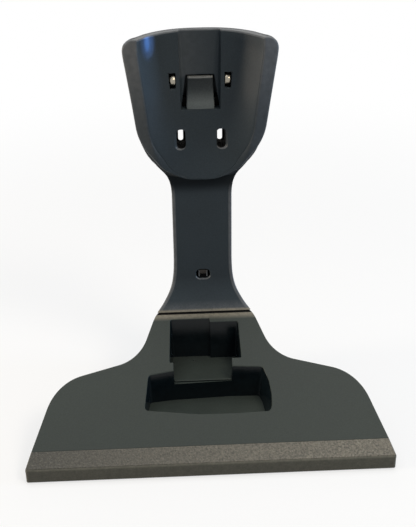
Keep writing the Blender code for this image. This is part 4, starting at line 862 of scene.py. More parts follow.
def base_outline(inset, fine):
    right = [(BASE_HALF_WIDTH, 0.0), (BASE_HALF_WIDTH - SIDE_TAPER * SHOULDER_Y, SHOULDER_Y),
             (FOOT_HALF_WIDTH + WAIST_REACH, WAIST_Y), (FOOT_HALF_WIDTH + 0.1, SEAM_Y + 1.0),
             (FOOT_REAR_HALF, REAR_Y)]
    radii = [max(LEAST_CORNER, FRONT_CORNER - inset), SHOULDER_ROUND - inset, WAIST_ROUND + inset, 0.0,
             max(LEAST_CORNER, REAR_CORNER - inset)]
    steps = [5, fine, fine, 1, 6]
    corners = right + [(-x, y) for x, y in reversed(right)]
    return rounded(inset_corners(corners, inset), radii + radii[::-1], steps + steps[::-1])


def with_crossings(outline, y):
    made = []
    for i, here in enumerate(outline):
        made.append(here)
        ahead = outline[(i + 1) % len(outline)]
        if (here[1] - y) * (ahead[1] - y) < 0:
            share = (y - here[1]) / (ahead[1] - here[1])
            made.append((here[0] + (ahead[0] - here[0]) * share, y))
    return made


BASE_ROUND = 0.9
LOW_EDGE = [(0.5, 0.0), (0.15, 0.15), (0.0, 0.5)]
CREASES = [STRIP_RUN] + spread(EASE_START_Y, EASE_RUN, 5)
EDGE_SLACK = 0.001


def base_level(inset):
    outline = base_outline(inset, 20)
    for crease in CREASES:
        outline = with_crossings(outline, crease)
    return outline


def base_shape(shape):
    rings = []
    for inset, rise in LOW_EDGE:
        rings.append([(x, y, FOOT_DROP + rise) for x, y in base_level(inset)])
    for sine, cosine in quarter(ROUND_STEPS):
        outline = base_level(BASE_ROUND * (1 - cosine))
        rings.append([(x, y, slope_z(y) - BASE_ROUND * (1 - sine)) for x, y in outline])
    made = [[shape.verts.new(point) for point in ring] for ring in rings]
    for low, high in zip(made, made[1:]):
        bridge(shape, low, high)
    shape.faces.new(made[0])
    bounds = [-1.0] + CREASES + [REAR_Y + 1.0]
    for first, last in zip(bounds, bounds[1:]):
        shape.faces.new([vert for vert in made[-1] if first - EDGE_SLACK <= vert.co.y <= last + EDGE_SLACK])


def sky(drop):
    tilt = drop / math.cos(SLOPE_ANGLE)
    lead_in = drop / math.cos(STRIP_ANGLE)
    profile = [(-OUTSIDE, FRONT_FACE_TOP - OUTSIDE * math.tan(STRIP_ANGLE) - lead_in),
               (STRIP_RUN, STRIP_TOP_Z - tilt)]
    for share in (0.0, 0.33, 0.67, 1.0):
        y = EASE_START_Y + EASE_RUN * share
        profile.append((y, slope_z(y) - tilt))
    profile += [(DEPTH + OUTSIDE, SEAM_Z - tilt), (DEPTH + OUTSIDE, SEAM_Z + 2 * OUTSIDE),
                (-OUTSIDE, SEAM_Z + 2 * OUTSIDE)]
    return prism_x(profile, -BASE_HALF_WIDTH - OUTSIDE, BASE_HALF_WIDTH + OUTSIDE)


# Pockets: x and y of each corner on the floor, then at the rim, with y from the pocket's back
UPPER_STEP_X = 4.0
LOWER_POCKET = [(-45.6, -28.4, -46.7, -29.0), (-8.7, -32.2, -8.7, -32.9), (19.5, -32.5, 20.0, -33.2),
                (41.0, -31.2, 44.4, -32.4), (41.3, -27.5, 45.8, -28.0), (41.3, -20.5, 46.2, -20.5),
                (40.6, -11.5, 45.0, -11.0), (38.9, -2.4, 41.4, -1.0), (17.5, -1.8, 18.8, 0.2),
                (-25.0, -4.1, -25.1, -1.8), (-42.8, -6.6, -43.6, -4.4), (-44.4, -17.5, -45.3, -17.0)]
UPPER_POCKET = [(-24.6, -42.0, -25.0, -42.0), (18.4, -42.0, 18.8, -42.0), (18.4, -28.0, 18.8, -28.0),
                (24.4, -27.8, 25.9, -27.8), (23.9, -2.6, 25.3, -0.2),
                (UPPER_STEP_X, -2.6, UPPER_STEP_X, -0.2), (UPPER_STEP_X - 0.4, 0.0, UPPER_STEP_X - 0.4, 2.4),
                (-25.0, 0.0, -26.3, 2.4), (-26.4, -29.6, -27.7, -29.8), (-24.6, -29.6, -25.0, -29.8)]
LOWER_ROUNDS = [2.5, 0, 0, 2.5, 0, 0, 0, 3.0, 0, 0, 2.5, 0]
UPPER_ROUNDS = [0, 0, 0, 1.0, 1.5, 0, 0, 1.5, 0.5, 0]
LOWER_BACK_Y = SEAM_Y - 41.0
UPPER_BACK_Y = SEAM_Y - 7.0
LOWER_FLOOR_Z = slope_z(LOWER_BACK_Y - 33.0) - 7.5
UPPER_FLOOR_Z = slope_z(UPPER_BACK_Y - 30.0) - 14.65
POCKET_WALL = 2.6
POCKET_ROUND = 0.5
RIM_FLARE = 0.45
ABOVE_FLARE = 2.6
POCKET_STEPS = 6


def pocket_keep(outline, back_y, floor_z, front_y):
    left = min(corner[2] for corner in outline) - POCKET_WALL
    right = max(corner[2] for corner in outline) + POCKET_WALL
    rear = back_y + max(corner[3] for corner in outline) + POCKET_WALL
    return box_shape(left, right, front_y - POCKET_WALL, rear, floor_z - POCKET_WALL, SEAM_Z + OUTSIDE)


# Each wall runs from a floor point up through a point of the rim, with a broken edge at the slope
def pocket_shape(outline, back_y, floor_z, radii):
    top_z = SEAM_Z + 12.0
    floor = []
    roof = []
    for floor_x, floor_y, rim_x, rim_y in outline:
        grow = (top_z - floor_z) / (slope_z(back_y + rim_y) - floor_z)
        floor.append((floor_x, back_y + floor_y))
        roof.append((floor_x + (rim_x - floor_x) * grow, back_y + floor_y + (rim_y - floor_y) * grow))
    floor = rounded(floor, radii, POCKET_STEPS)
    roof = rounded(roof, radii, POCKET_STEPS)
    below = []
    rim = []
    above = []
    tilt = math.tan(SLOPE_ANGLE)
    count = len(floor)
    for i in range(count):
        low = Vector((*floor[i], floor_z))
        high = Vector((*roof[i], top_z))
        run = high - low
        level = (STRIP_TOP_Z + (low.y - STRIP_RUN) * tilt - low.z) / (run.z - run.y * tilt)
        before = Vector(floor[i - 1])
        after = Vector(floor[(i + 1) % count])
        along = (after - before).normalized()
        outward = Vector((along.y, -along.x, 0.0))
        share = POCKET_ROUND / run.z
        below.append(low + run * (level - share))
        rim.append(low + run * level + outward * POCKET_ROUND * RIM_FLARE)
        above.append(low + run * (level + 2 * share) + outward * POCKET_ROUND * ABOVE_FLARE)
    return loft_shape([[(x, y, floor_z) for x, y in floor], below, rim, above])


def plate_rods(radius, low, high, sides):
    return [rod_z(x, y, radius, low, high, sides) for x, y in PLATE_SCREWS]


STRIP_DEPTH = (STRIP_THICKNESS + GAP) / math.cos(STRIP_ANGLE)
STRIP_KEEP_Y = STRIP_RUN + 3.0
PLATE_BOSS_RADIUS = 4.2
base_shell = solids("base", [base_shape])
base_hollow = solids("base_hollow", [prism_z(base_outline(BASE_WALL, 5), 0.0, SEAM_Z + 0.7 * OUTSIDE)])
cut(base_hollow, sky(BASE_WALL))
lower_front = LOWER_BACK_Y + min(corner[3] for corner in LOWER_POCKET)
cut(base_hollow, pocket_keep(LOWER_POCKET, LOWER_BACK_Y, LOWER_FLOOR_Z, lower_front))
cut(base_hollow, pocket_keep(UPPER_POCKET, UPPER_BACK_Y, UPPER_FLOOR_Z, LOWER_BACK_Y - 3.4))
cut(base_hollow, *plate_rods(PLATE_BOSS_RADIUS, PLATE_TOP_Z + GAP, SEAM_Z + OUTSIDE, BOSS_SIDES))
strip_keep = [(-1.0, FRONT_FACE_TOP - STRIP_DEPTH - 4.0), (STRIP_KEEP_Y, STRIP_TOP_Z - STRIP_DEPTH - 2.0),
              (STRIP_KEEP_Y, SEAM_Z), (-1.0, SEAM_Z)]
cut(base_hollow, prism_x(strip_keep, -BASE_HALF_WIDTH, BASE_HALF_WIDTH))
combine(base_shell, base_hollow, "DIFFERENCE")
cut(base_shell, pocket_shape(LOWER_POCKET, LOWER_BACK_Y, LOWER_FLOOR_Z, LOWER_ROUNDS))
cut(base_shell, pocket_shape(UPPER_POCKET, UPPER_BACK_Y, UPPER_FLOOR_Z, UPPER_ROUNDS))

# Bar along the step between the pockets, and a moulded pip on the upper floor
BAR_Y = LOWER_BACK_Y - 0.4
BAR_PROFILE = [(0.0, -1.0), (2.4, -1.0), (2.4, 0.9), (2.1, 1.2), (0.3, 1.2), (0.0, 0.9)]
PIP_PROFILE = [(0.0, -1.0), (1.2, -1.0), (1.2, 0.2), (1.05, 0.42), (0.7, 0.5), (0.0, 0.5)]
pip_place = Matrix.Translation((-8.6, UPPER_BACK_Y - 5.2, UPPER_FLOOR_Z))
bar = [(BAR_Y + y, UPPER_FLOOR_Z + z) for y, z in BAR_PROFILE]
add(base_shell, prism_x(bar, -24.3, 18.1), turned_shape(PIP_PROFILE, 24, pip_place))

# Recess for the strip, then the spigot with the catch's pocket
RECESS_BACK_Y = STRIP_RUN + GAP / 2
RECESS_TOP_Z = STRIP_TOP_Z + 20.0
recess = [(STRIP_FRONT_WALL, strip_z(STRIP_FRONT_WALL) - STRIP_DEPTH),
          (RECESS_BACK_Y, strip_z(RECESS_BACK_Y) - STRIP_DEPTH),
          (RECESS_BACK_Y, RECESS_TOP_Z), (STRIP_FRONT_WALL, RECESS_TOP_Z)]
cut(base_shell, prism_x(recess, -BASE_HALF_WIDTH - 5.0, BASE_HALF_WIDTH + 5.0))
SPIGOT_HALF_WIDTH = NECK_HALF_WIDTH - SKIN - 3.0
SPIGOT_FRONT_Y = NECK_FRONT_Y + SKIN + 0.6
CATCH_FRONT_Y = NECK_FRONT_Y + SKIN + 0.5
CATCH_REAR_Y = CATCH_FRONT_Y + 2.2
CATCH_POCKET_HALF = CATCH_HALF_WIDTH + 0.6
add(base_shell, box_shape(-SPIGOT_HALF_WIDTH, SPIGOT_HALF_WIDTH, SPIGOT_FRONT_Y, REAR_Y - SKIN - 0.6,
                          SEAM_Z - 1.5, SEAM_Z + 18.0))
cut(base_shell, box_shape(-CATCH_POCKET_HALF, CATCH_POCKET_HALF, SPIGOT_FRONT_Y - 3.0, CATCH_REAR_Y + 4.0,
                          SEAM_Z, SEAM_Z + 23.0))
cut(base_shell, *plate_rods(PILOT_RADIUS, 0.0, PLATE_TOP_Z + 6.5, 16))

# Upright walls of the pockets, which come polished out of the mould and are painted darker as the shade in
# the pockets
LOWER_REACH = 48.0
UPPER_REACH = 30.0
POCKET_FRONT_Y = LOWER_BACK_Y - 40.0
WALL_UPRIGHT = 0.5


def pocket_wall(x, y, z, normal):
    lower = abs(x) < LOWER_REACH and y < LOWER_BACK_Y + 3.0
    upper = abs(x) < UPPER_REACH and y < UPPER_BACK_Y + 3.0
    sunk = z < slope_z(y) - POCKET_ROUND and abs(normal.z) < WALL_UPRIGHT
    return sunk and y > POCKET_FRONT_Y and (lower or upper)


# Top of the base behind the seam, which the column covers, painted black as the shade in the gap under the
# column
def under_column(x, y, z, normal):
    return y > SEAM_Y + 0.3 and z > SEAM_Z - 1.2 and normal.z > 0.9


# Front face and upward faces, which take the tan bands
def crown_faces(x, y, z, normal):
    return y < 3.0 or normal.z > 0.6


mark_faces(base_shell, "polish_and_shade_paint", pocket_wall)
mark_faces(base_shell, "shade", under_column)
mark_faces(base_shell, "crown", crown_faces)

# Textured strip: a fine grid with a coarse moulded grain
STRIP_ROWS = 26
STRIP_COLUMNS = 470
STRIP_GAP = 0.06
GRAIN_HEIGHT = 0.16
GRAIN_LEVEL = 0.9
COARSE_GRAIN = 1.1
FINE_GRAIN = 2.3


def strip_shape(shape):
    front = STRIP_FRONT_WALL + STRIP_GAP
    back = RECESS_BACK_Y - STRIP_GAP
    drop = STRIP_THICKNESS / math.cos(STRIP_ANGLE)
    normal = Vector((0.0, -math.sin(STRIP_ANGLE), math.cos(STRIP_ANGLE)))
    top = []
    low = []
    for row, y in enumerate(spread(front, back - front, STRIP_ROWS)):
        reach = BASE_HALF_WIDTH - SIDE_TAPER * y - draw_back(y, FRONT_CORNER) - 0.1
        height = strip_z(y)
        line = []
        under = []
        for column, x in enumerate(spread(-reach, 2 * reach, STRIP_COLUMNS)):
            point = Vector((x, y, height))
            inside = min(1.0, row / 2, (STRIP_ROWS - row) / 2, column / 4, (STRIP_COLUMNS - column) / 4)
            grain = noise.noise(point * COARSE_GRAIN) + 0.6 * noise.noise(point * FINE_GRAIN)
            sink = draw_back(min(y - front, back - y), 0.25) + draw_back(reach - abs(x), 0.5)
            point += normal * (GRAIN_HEIGHT * (grain - GRAIN_LEVEL) * inside - sink)
            line.append(shape.verts.new(point))
            under.append(shape.verts.new((x, y, height - drop)))
        top.append(line)
        low.append(under)
    for sheet in (top, low):
        for near, far in zip(sheet, sheet[1:]):
            bridge(shape, near, far, False)
    for end in (0, -1):
        bridge(shape, top[end], low[end], False)
        bridge(shape, [line[end] for line in top], [line[end] for line in low], False)


grip_strip = solids("strip", [strip_shape])

# Latch tongue: its face leans back from the foot, comes a little forward above and ends in a rounded top
TONGUE_LOW_Z = CHANNEL_LOW_Z + 0.12
TONGUE_REACH = TONGUE_TOP_Z - TONGUE_LOW_Z
TONGUE_REAR_Y = CHANNEL_BACK_Y - 0.2
TONGUE_FACE_Y = cradle_y(CHANNEL_LOW_Z) + 0.2
TONGUE_FACE = [(0.0, 0.0), (0.1, 0.35), (0.3, 1.8), (0.5, 3.0), (0.65, 3.3), (0.85, 2.8), (1.0, 2.2)]
TONGUE_TOP_ROUND = 1.1
TONGUE_SIDE_ROUND = 1.1
TONGUE_BOW = 0.5
TONGUE_COLUMNS = 8
TONGUE_SHARES = [i / 40 for i in range(38)] + [0.938, 0.95, 0.962, 0.974, 0.984, 0.992, 0.997, 1.0]


def tongue_ring(share):
    z = TONGUE_LOW_Z + TONGUE_REACH * share
    top_round = draw_back(TONGUE_TOP_Z - z, TONGUE_TOP_ROUND)
    half = TONGUE_LOW_HALF + (TONGUE_TOP_HALF - TONGUE_LOW_HALF) * share - 0.3 * top_round
    face = TONGUE_FACE_Y + smooth(TONGUE_FACE, share) + top_round
    flat = half - TONGUE_SIDE_ROUND
    front = [(x, face + TONGUE_BOW * (x / flat) ** 2) for x in spread(0.0, flat, TONGUE_COLUMNS)]
    for sine, cosine in quarter(ROUND_STEPS, 1):
        front.append((flat + TONGUE_SIDE_ROUND * sine, face + TONGUE_BOW + TONGUE_SIDE_ROUND * (1 - cosine)))
    return level_ring(front, [(half, TONGUE_REAR_Y)], z)


latch_tongue = solids("tongue", [loft_shape([tongue_ring(share) for share in TONGUE_SHARES])])

# Contact leaves: bent strips with a crowned contact face
LEAF_ROOT_Y = CARRIER_Y - GAP - LEAF_THICKNESS
LEAF_CROWN_Y = contact_face - 0.4
LEAF_BEND = [(-4.4, 3.6), (-2.8, 1.1), (-1.2, 0.2), (0.0, 0.0), (1.2, 0.3), (2.8, 1.6), (4.2, 3.6)]
LEAF_PATH = [(CARRIER_TOP_Z - 4.0, LEAF_ROOT_Y), (CARRIER_TOP_Z + 1.0, LEAF_ROOT_Y)]
LEAF_PATH += [(CONTACT_Z + rise, LEAF_CROWN_Y + depth) for rise, depth in LEAF_BEND]
LEAF_STEPS = 60
LEAF_COLUMNS = 6
LEAF_CROWN = 0.6
LEAF_STRETCH = 1.2
SLOPE_STEP = 0.05


def leaf(name, x):
    low = LEAF_PATH[0][0]
    high = LEAF_PATH[-1][0]
    rings = []
    for z in spread(low, high - low, LEAF_STEPS):
        y = smooth(LEAF_PATH, z)
        lean = (smooth(LEAF_PATH, z + SLOPE_STEP) - smooth(LEAF_PATH, z - SLOPE_STEP)) / (2 * SLOPE_STEP)
        thick = min(LEAF_THICKNESS * math.sqrt(1 + lean * lean), LEAF_STRETCH)
        crown = LEAF_CROWN * ease(z, CONTACT_Z - 4.4, CONTACT_Z - 2.0)
        front = []
        for column in range(-LEAF_COLUMNS, LEAF_COLUMNS + 1):
            place = column / LEAF_COLUMNS
            front.append((x + CONTACT_HALF_WIDTH * place, y + crown * place * place, z))
        rings.append(front + [(a, b + thick, c) for a, b, c in reversed(front)])
    return solids(name, [loft_shape(rings)])


contact_left = leaf("leaf_left", -CONTACT_X)
contact_right = leaf("leaf_right", CONTACT_X)

# Release catch: a blade with a nose in the window and a rib on each side of the nose
CATCH_TOP_Z = WINDOW_Z + WINDOW_HALF_HEIGHT - 0.9
NOSE_LOW_Z = WINDOW_Z - 0.4
NOSE_FRONT_Y = NECK_FRONT_Y + 0.4
NOSE_HALF = CATCH_NOSE_HALF - CATCH_RIB
RIB_LOW_Z = WINDOW_Z - 2.6
RIB_FRONT_Y = NOSE_FRONT_Y + 0.2
RIB_REAR_Y = CATCH_REAR_Y - 0.2
RIB_TOP_Z = CATCH_TOP_Z - 0.4
blade = box_shape(-CATCH_HALF_WIDTH, CATCH_HALF_WIDTH, CATCH_FRONT_Y, CATCH_REAR_Y, COLUMN_LOW_Z,
                  NOSE_LOW_Z - 2.0)
release_catch = solids("catch", [blade])
nose = [(CATCH_FRONT_Y, NOSE_LOW_Z - 3.0), (CATCH_FRONT_Y, NOSE_LOW_Z), (NOSE_FRONT_Y, NOSE_LOW_Z + 0.6),
        (NOSE_FRONT_Y, CATCH_TOP_Z - 1.2), (NOSE_FRONT_Y + 1.0, CATCH_TOP_Z), (CATCH_REAR_Y, CATCH_TOP_Z),
        (CATCH_REAR_Y, NOSE_LOW_Z - 3.0)]
nose = rounded(nose, [0.0, 0.0, 0.3, 0.5, 0.5, 0.2, 0.0], 4)
add(release_catch, prism_x(nose, -NOSE_HALF, NOSE_HALF))
rib = [(CATCH_FRONT_Y + 0.5, RIB_LOW_Z), (RIB_FRONT_Y, RIB_LOW_Z + 0.3), (RIB_FRONT_Y, CATCH_TOP_Z - 1.6),
       (NOSE_FRONT_Y + 1.0, RIB_TOP_Z), (RIB_REAR_Y, RIB_TOP_Z), (RIB_REAR_Y, RIB_LOW_Z)]
rib = rounded(rib, [0.0, 0.2, 0.4, 0.4, 0.0, 0.0], 4)
for side in SIDES:
    add(release_catch, prism_x(rib, *sorted([side * CATCH_NOSE_HALF, side * (NOSE_HALF - 0.1)])))


def on_rib(x):
    return abs(x) > NOSE_HALF + 0.02


# Front faces of the catch's ribs, which get a painted highlight
def rib_front(x, y, z, normal):
    return on_rib(x) and normal.y < -0.5 and z > RIB_LOW_Z


# Blade below the nose, painted black as the shade inside the window
def below_nose(x, y, z, normal):
    return z < WINDOW_Z + 0.2 and not on_rib(x)


mark_faces(release_catch, "highlight_paint", rib_front)
mark_faces(release_catch, "shade", below_nose)


# Screws with a cross recess, head up along the local z
HEAD_ROUND = 0.9
RECESS_HALF = 0.32
RECESS_REACH = 1.45
RECESS_DEPTH = 1.15
RECESS_TAPER = 0.45


def screw(name, point, turn, length):
    inner = SCREW_HEAD_RADIUS - HEAD_ROUND
    lower = SCREW_HEAD_HEIGHT - HEAD_ROUND
    profile = [(0.0, SCREW_HEAD_HEIGHT)]
    profile += [(inner + HEAD_ROUND * sine, lower + HEAD_ROUND * cosine) for sine, cosine in quarter(6)]
    profile += [(SCREW_HEAD_RADIUS, 0.0), (SCREW_SHANK_RADIUS, 0.0), (SCREW_SHANK_RADIUS, 1.5 - length),
                (SCREW_SHANK_RADIUS * 0.5, -length), (0.0, -length)]
    place = Matrix.Translation(point) @ Matrix.Rotation(turn, 4, "X")
    item = solids(name, [turned_shape(profile, 32, place)])
    for lengthwise in (True, False):
        rings = []
        for rise, share in ((-RECESS_DEPTH, RECESS_TAPER), (0.4, 1.0)):
            a = RECESS_HALF if lengthwise else RECESS_REACH * share
            b = RECESS_REACH * share if lengthwise else RECESS_HALF
            corners = [(-a, -b), (a, -b), (a, b), (-a, b)]
            rings.append([tuple(place @ Vector((*corner, SCREW_HEAD_HEIGHT + rise))) for corner in corners])
        cut(item, loft_shape(rings))
    return item


TO_REAR = -math.pi / 2
DOWN = math.pi
COVER_SEAT_Y = COUNTERBORE_Y + GAP
COVER_SCREW_LENGTH = COVER_SEAT_Y - NECK_FRONT_Y - SKIN
PLATE_SCREW_LENGTH = 6.8
screws = {}
for i, (x, z) in enumerate(COVER_SCREWS, 1):
    item = screw("cover_screw_%d" % i, (x, COVER_SEAT_Y, z), TO_REAR, COVER_SCREW_LENGTH)
    screws["rear_cover_screw_%d" % i] = item
for i, (x, y) in enumerate(PLATE_SCREWS, 1):
    item = screw("plate_screw_%d" % i, (x, y, PLATE_BORE_Z - GAP), DOWN, PLATE_SCREW_LENGTH)
    screws["base_plate_screw_%d" % i] = item

# Inlet
JACK_HALF_WIDTH = 5.0
JACK_HALF_HEIGHT = 6.0
JACK_FRONT_Y = NECK_FRONT_Y + SKIN + 0.8
JACK_REAR_Y = REAR_Y - SKIN - 0.4
JACK_NOSE_Y = REAR_Y - 0.6
JACK_BORE_Y = JACK_FRONT_Y + 2.0
JACK_STEPS = 40
PIN_LOW_Y = JACK_BORE_Y + GAP
PIN_TOP_Y = JACK_NOSE_Y - 1.2
jack_place = Matrix.Translation((0.0, 0.0, JACK_Z)) @ Matrix.Rotation(TO_REAR, 4, "X")
inlet = solids("inlet", [box_shape(-JACK_HALF_WIDTH, JACK_HALF_WIDTH, JACK_FRONT_Y, JACK_REAR_Y,
                                   JACK_Z - JACK_HALF_HEIGHT, JACK_Z + JACK_HALF_HEIGHT)])
nose = [(0.0, JACK_REAR_Y - 1.0), (JACK_NOSE_RADIUS, JACK_REAR_Y - 1.0),
        (JACK_NOSE_RADIUS, JACK_NOSE_Y - 0.4), (JACK_NOSE_RADIUS - 0.12, JACK_NOSE_Y - 0.12),
        (JACK_NOSE_RADIUS - 0.4, JACK_NOSE_Y), (0.0, JACK_NOSE_Y)]
add(inlet, turned_shape(nose, JACK_STEPS, jack_place))
bore = [(0.0, JACK_BORE_Y), (JACK_BORE_RADIUS, JACK_BORE_Y), (JACK_BORE_RADIUS, JACK_NOSE_Y - 0.4),
        (JACK_BORE_RADIUS + 1.4, JACK_NOSE_Y + 1.0), (0.0, JACK_NOSE_Y + 1.0)]
cut(inlet, turned_shape(bore, JACK_STEPS, jack_place))
pin = [(0.0, PIN_LOW_Y), (1.0, PIN_LOW_Y), (1.0, PIN_TOP_Y - 0.5), (0.85, PIN_TOP_Y - 0.15), (0.5, PIN_TOP_Y),
       (0.0, PIN_TOP_Y)]
inlet_pin = solids("inlet_pin", [turned_shape(pin, 24, jack_place)])

# Base plate and feet
FOOT_STEPS = 48
FOOT_PROFILE = [(0.0, FOOT_TOP_Z), (FOOT_RADIUS, FOOT_TOP_Z), (FOOT_RADIUS, 0.6), (FOOT_RADIUS - 0.2, 0.18),
                (FOOT_RADIUS - 0.6, 0.0), (5.2, 0.0), (5.0, 0.25), (4.4, 0.25), (4.2, 0.0), (3.0, 0.0),
                (2.8, 0.25), (2.2, 0.25), (2.0, 0.0), (0.0, 0.0)]
base_plate = solids("underside", [prism_z(base_outline(BASE_WALL + GAP, 14), FOOT_DROP, PLATE_TOP_Z)])
plate_cuts = [rod_z(x, y, FOOT_RADIUS + GAP, -1.0, FOOT_TOP_Z + GAP, FOOT_STEPS) for x, y in FEET.values()]
cut(base_plate, *plate_cuts, *plate_rods(PILOT_RADIUS, 0.0, PLATE_TOP_Z + 1.0, 16))
cut(base_plate, *plate_rods(SCREW_HEAD_RADIUS + 0.4, -1.0, PLATE_BORE_Z, 32))
feet = {}
for label, (x, y) in FEET.items():
    place = Matrix.Translation((x, y, 0.0))
    feet[label] = solids("pad_" + label[5:], [turned_shape(FOOT_PROFILE, FOOT_STEPS, place)])


# Node with its settings and sockets filled: a socket of another node is linked, anything else is set
def add_node(tree, kind, values, **settings):
    node = tree.nodes.new("ShaderNode" + kind)
    for name, setting in settings.items():
        setattr(node, name, setting)
    for socket, value in values.items():
        if isinstance(value, bpy.types.NodeSocket):
            tree.links.new(value, node.inputs[socket])
        else:
            node.inputs[socket].default_value = value
    return node


# Materials: noise in the object's own space gives each surface its grain, shade and gloss
CLOUD_SCALE = 26.0
PATCH_SCALE = 240.0
SPECKLE_SCALE = 700.0
SPECK_SHARE = 0.45
GRAIN_DEPTH = 0.0003
SCRATCH_DEPTH = 0.0002
BLOB_DEPTH = 0.0006


def node_tree(name):
    material = bpy.data.materials.new(name)
    material.use_nodes = True
    tree = material.node_tree
    add_node(tree, "TexCoord", {})
    return material, tree, tree.nodes["Principled BSDF"]


def object_space(tree):
    return tree.nodes["Texture Coordinate"].outputs["Object"]


def noise_node(tree, scale, detail=2.0, rough=0.5, stretch=None):
    source = object_space(tree)
    if stretch:
        source = add_node(tree, "Mapping", {"Vector": source, "Scale": stretch}).outputs["Vector"]
    values = {"Vector": source, "Scale": scale, "Detail": detail, "Roughness": rough}
    return add_node(tree, "TexNoise", values).outputs["Fac"]


def ramp(tree, source, stops):
    node = add_node(tree, "ValToRGB", {"Fac": source})
    band = node.color_ramp
    while len(band.elements) < len(stops):
        band.elements.new(0.5)
    for element, (place, colour) in zip(band.elements, stops):
        element.position = place
        element.color = (*colour, 1.0)
    return node.outputs["Color"]


def mixed(tree, first, second, amount):
    values = {"Factor": amount, "A": first, "B": second}
    return add_node(tree, "Mix", values, data_type="RGBA").outputs["Result"]


def ranged(tree, source, low, high):
    values = {"Value": source, "From Min": 0.3, "From Max": 0.7, "To Min": low, "To Max": high}
    return add_node(tree, "MapRange", values).outputs["Result"]


def bumped(tree, shader, source, strength, distance):
    bump = add_node(tree, "Bump", {"Height": source, "Strength": strength, "Distance": distance})
    tree.links.new(bump.outputs["Normal"], shader.inputs["Normal"])


def shaded(colour, factor):
    return tuple(channel * factor for channel in colour)


def toned(tree, source, colour, dark, light, low=0.3, high=0.7):
    return ramp(tree, source, [(low, shaded(colour, dark)), (high, shaded(colour, light))])


def link_finish(tree, shader, tone, gloss):
    tree.links.new(tone, shader.inputs["Base Color"])
    tree.links.new(gloss, shader.inputs["Roughness"])


def plastic(name, colour, rough, grain=2400.0, grain_strength=0.10, specular=0.4):
    material, tree, shader = node_tree(name)
    cloud = noise_node(tree, CLOUD_SCALE, 3.0)
    speck = noise_node(tree, grain * SPECK_SHARE, 1.0)
    tone = toned(tree, cloud, colour, 0.88, 1.12)
    dots = toned(tree, speck, colour, 0.82, 1.18, 0.35, 0.65)
    link_finish(tree, shader, mixed(tree, tone, dots, 0.4), ranged(tree, cloud, rough - 0.05, rough + 0.06))
    shader.inputs["Specular IOR Level"].default_value = specular
    bumped(tree, shader, noise_node(tree, grain), grain_strength, GRAIN_DEPTH)
    return material


def metal(name, colour, rough, stretch, scratch=0.06):
    material, tree, shader = node_tree(name)
    lines = noise_node(tree, 900.0, 3.0, 0.6, stretch)
    cloud = noise_node(tree, 120.0)
    gloss = ranged(tree, lines, rough - 0.08, rough + 0.1)
    link_finish(tree, shader, toned(tree, cloud, colour, 0.86, 1.08), gloss)
    shader.inputs["Metallic"].default_value = 1.0
    bumped(tree, shader, lines, scratch, SCRATCH_DEPTH)
    return material


def coarse(name, dark, middle, light, rough):
    material, tree, shader = node_tree(name)
    blobs = noise_node(tree, 800.0, 3.0, 0.65)
    tone = ramp(tree, blobs, [(0.34, dark), (0.5, middle), (0.68, light)])
    wide = toned(tree, noise_node(tree, 30.0), middle, 0.8, 1.2)
    gloss = ranged(tree, noise_node(tree, 1700.0), rough - 0.12, rough + 0.12)
    link_finish(tree, shader, mixed(tree, tone, wide, 0.3), gloss)
    shader.inputs["Specular IOR Level"].default_value = 0.45
    bumped(tree, shader, blobs, 0.5, BLOB_DEPTH)
    return material


# Second colour and roughness over the first where a mask says so: painted highlights, painted shade and
# light, and plain bands
def overlay(material, mask, colour, rough):
    tree = material.node_tree
    shader = tree.nodes["Principled BSDF"]
    patches = noise_node(tree, PATCH_SCALE, 3.0)
    tone = toned(tree, patches, colour, 0.85, 1.15)
    gloss = ranged(tree, patches, rough - 0.03, rough + 0.03)
    first_tone = shader.inputs["Base Color"].links[0].from_socket
    first_gloss = shader.inputs["Roughness"].links[0].from_socket
    link_finish(tree, shader, mixed(tree, first_tone, tone, mask), mixed(tree, first_gloss, gloss, mask))


def painted_mask(material, name):
    return add_node(material.node_tree, "Attribute", {}, attribute_name=name).outputs["Fac"]


def joined(material, first, second):
    values = {0: first, 1: second}
    return add_node(material.node_tree, "Math", values, operation="MULTIPLY").outputs["Value"]


# Mask by place along one axis: pairs of place in millimetres and strength, broken up by a fine noise
def placed_mask(material, axis, offset, reach, stops, break_up):
    tree = material.node_tree
    split = add_node(tree, "SeparateXYZ", {"Vector": object_space(tree)})
    values = {"Value": split.outputs[axis], "From Min": offset * MM, "From Max": (offset + reach) * MM}
    share = add_node(tree, "MapRange", values).outputs["Result"]
    band = ramp(tree, share, [(place / reach, (value, value, value)) for place, value in stops])
    speckle = ranged(tree, noise_node(tree, SPECKLE_SCALE, 3.0), 1 - break_up, 1.0)
    return joined(material, band, speckle)


# Colours, among them a painted highlight for the lips and edges, a wall colour darkened as painted shade, a
# black for painted shade, a painted highlight for the tongue's top and a lit colour painted on the strip
COLUMN_COLOUR = (0.0330, 0.0435, 0.0515)
BASE_COLOUR = (0.0345, 0.0425, 0.0375)
WALL_SHADE_COLOUR = (0.0050, 0.0085, 0.0105)
TAN_BAND_COLOUR = (0.250, 0.228, 0.178)
SHADE_COLOUR = (0.002, 0.002, 0.002)
TONGUE_HIGHLIGHT_COLOUR = (0.200, 0.205, 0.200)
LIP_COLOUR = (0.120, 0.128, 0.136)
STRIP_DARK = (0.023, 0.022, 0.018)
STRIP_MIDDLE = (0.048, 0.046, 0.037)
STRIP_PALE = (0.110, 0.103, 0.083)
STRIP_LIT_COLOUR = (0.22, 0.20, 0.155)
TONGUE_DARK = (0.024, 0.029, 0.032)
column_plastic = plastic("column_plastic", COLUMN_COLOUR, 0.42, specular=0.15)
cover_plastic = plastic("cover_plastic", shaded(COLUMN_COLOUR, 1.05), 0.46, specular=0.2)
tongue_plastic = plastic("tongue_plastic", (0.150, 0.170, 0.172), 0.38, specular=0.12)
base_plastic = plastic("base_plastic", BASE_COLOUR, 0.42, specular=0.2)
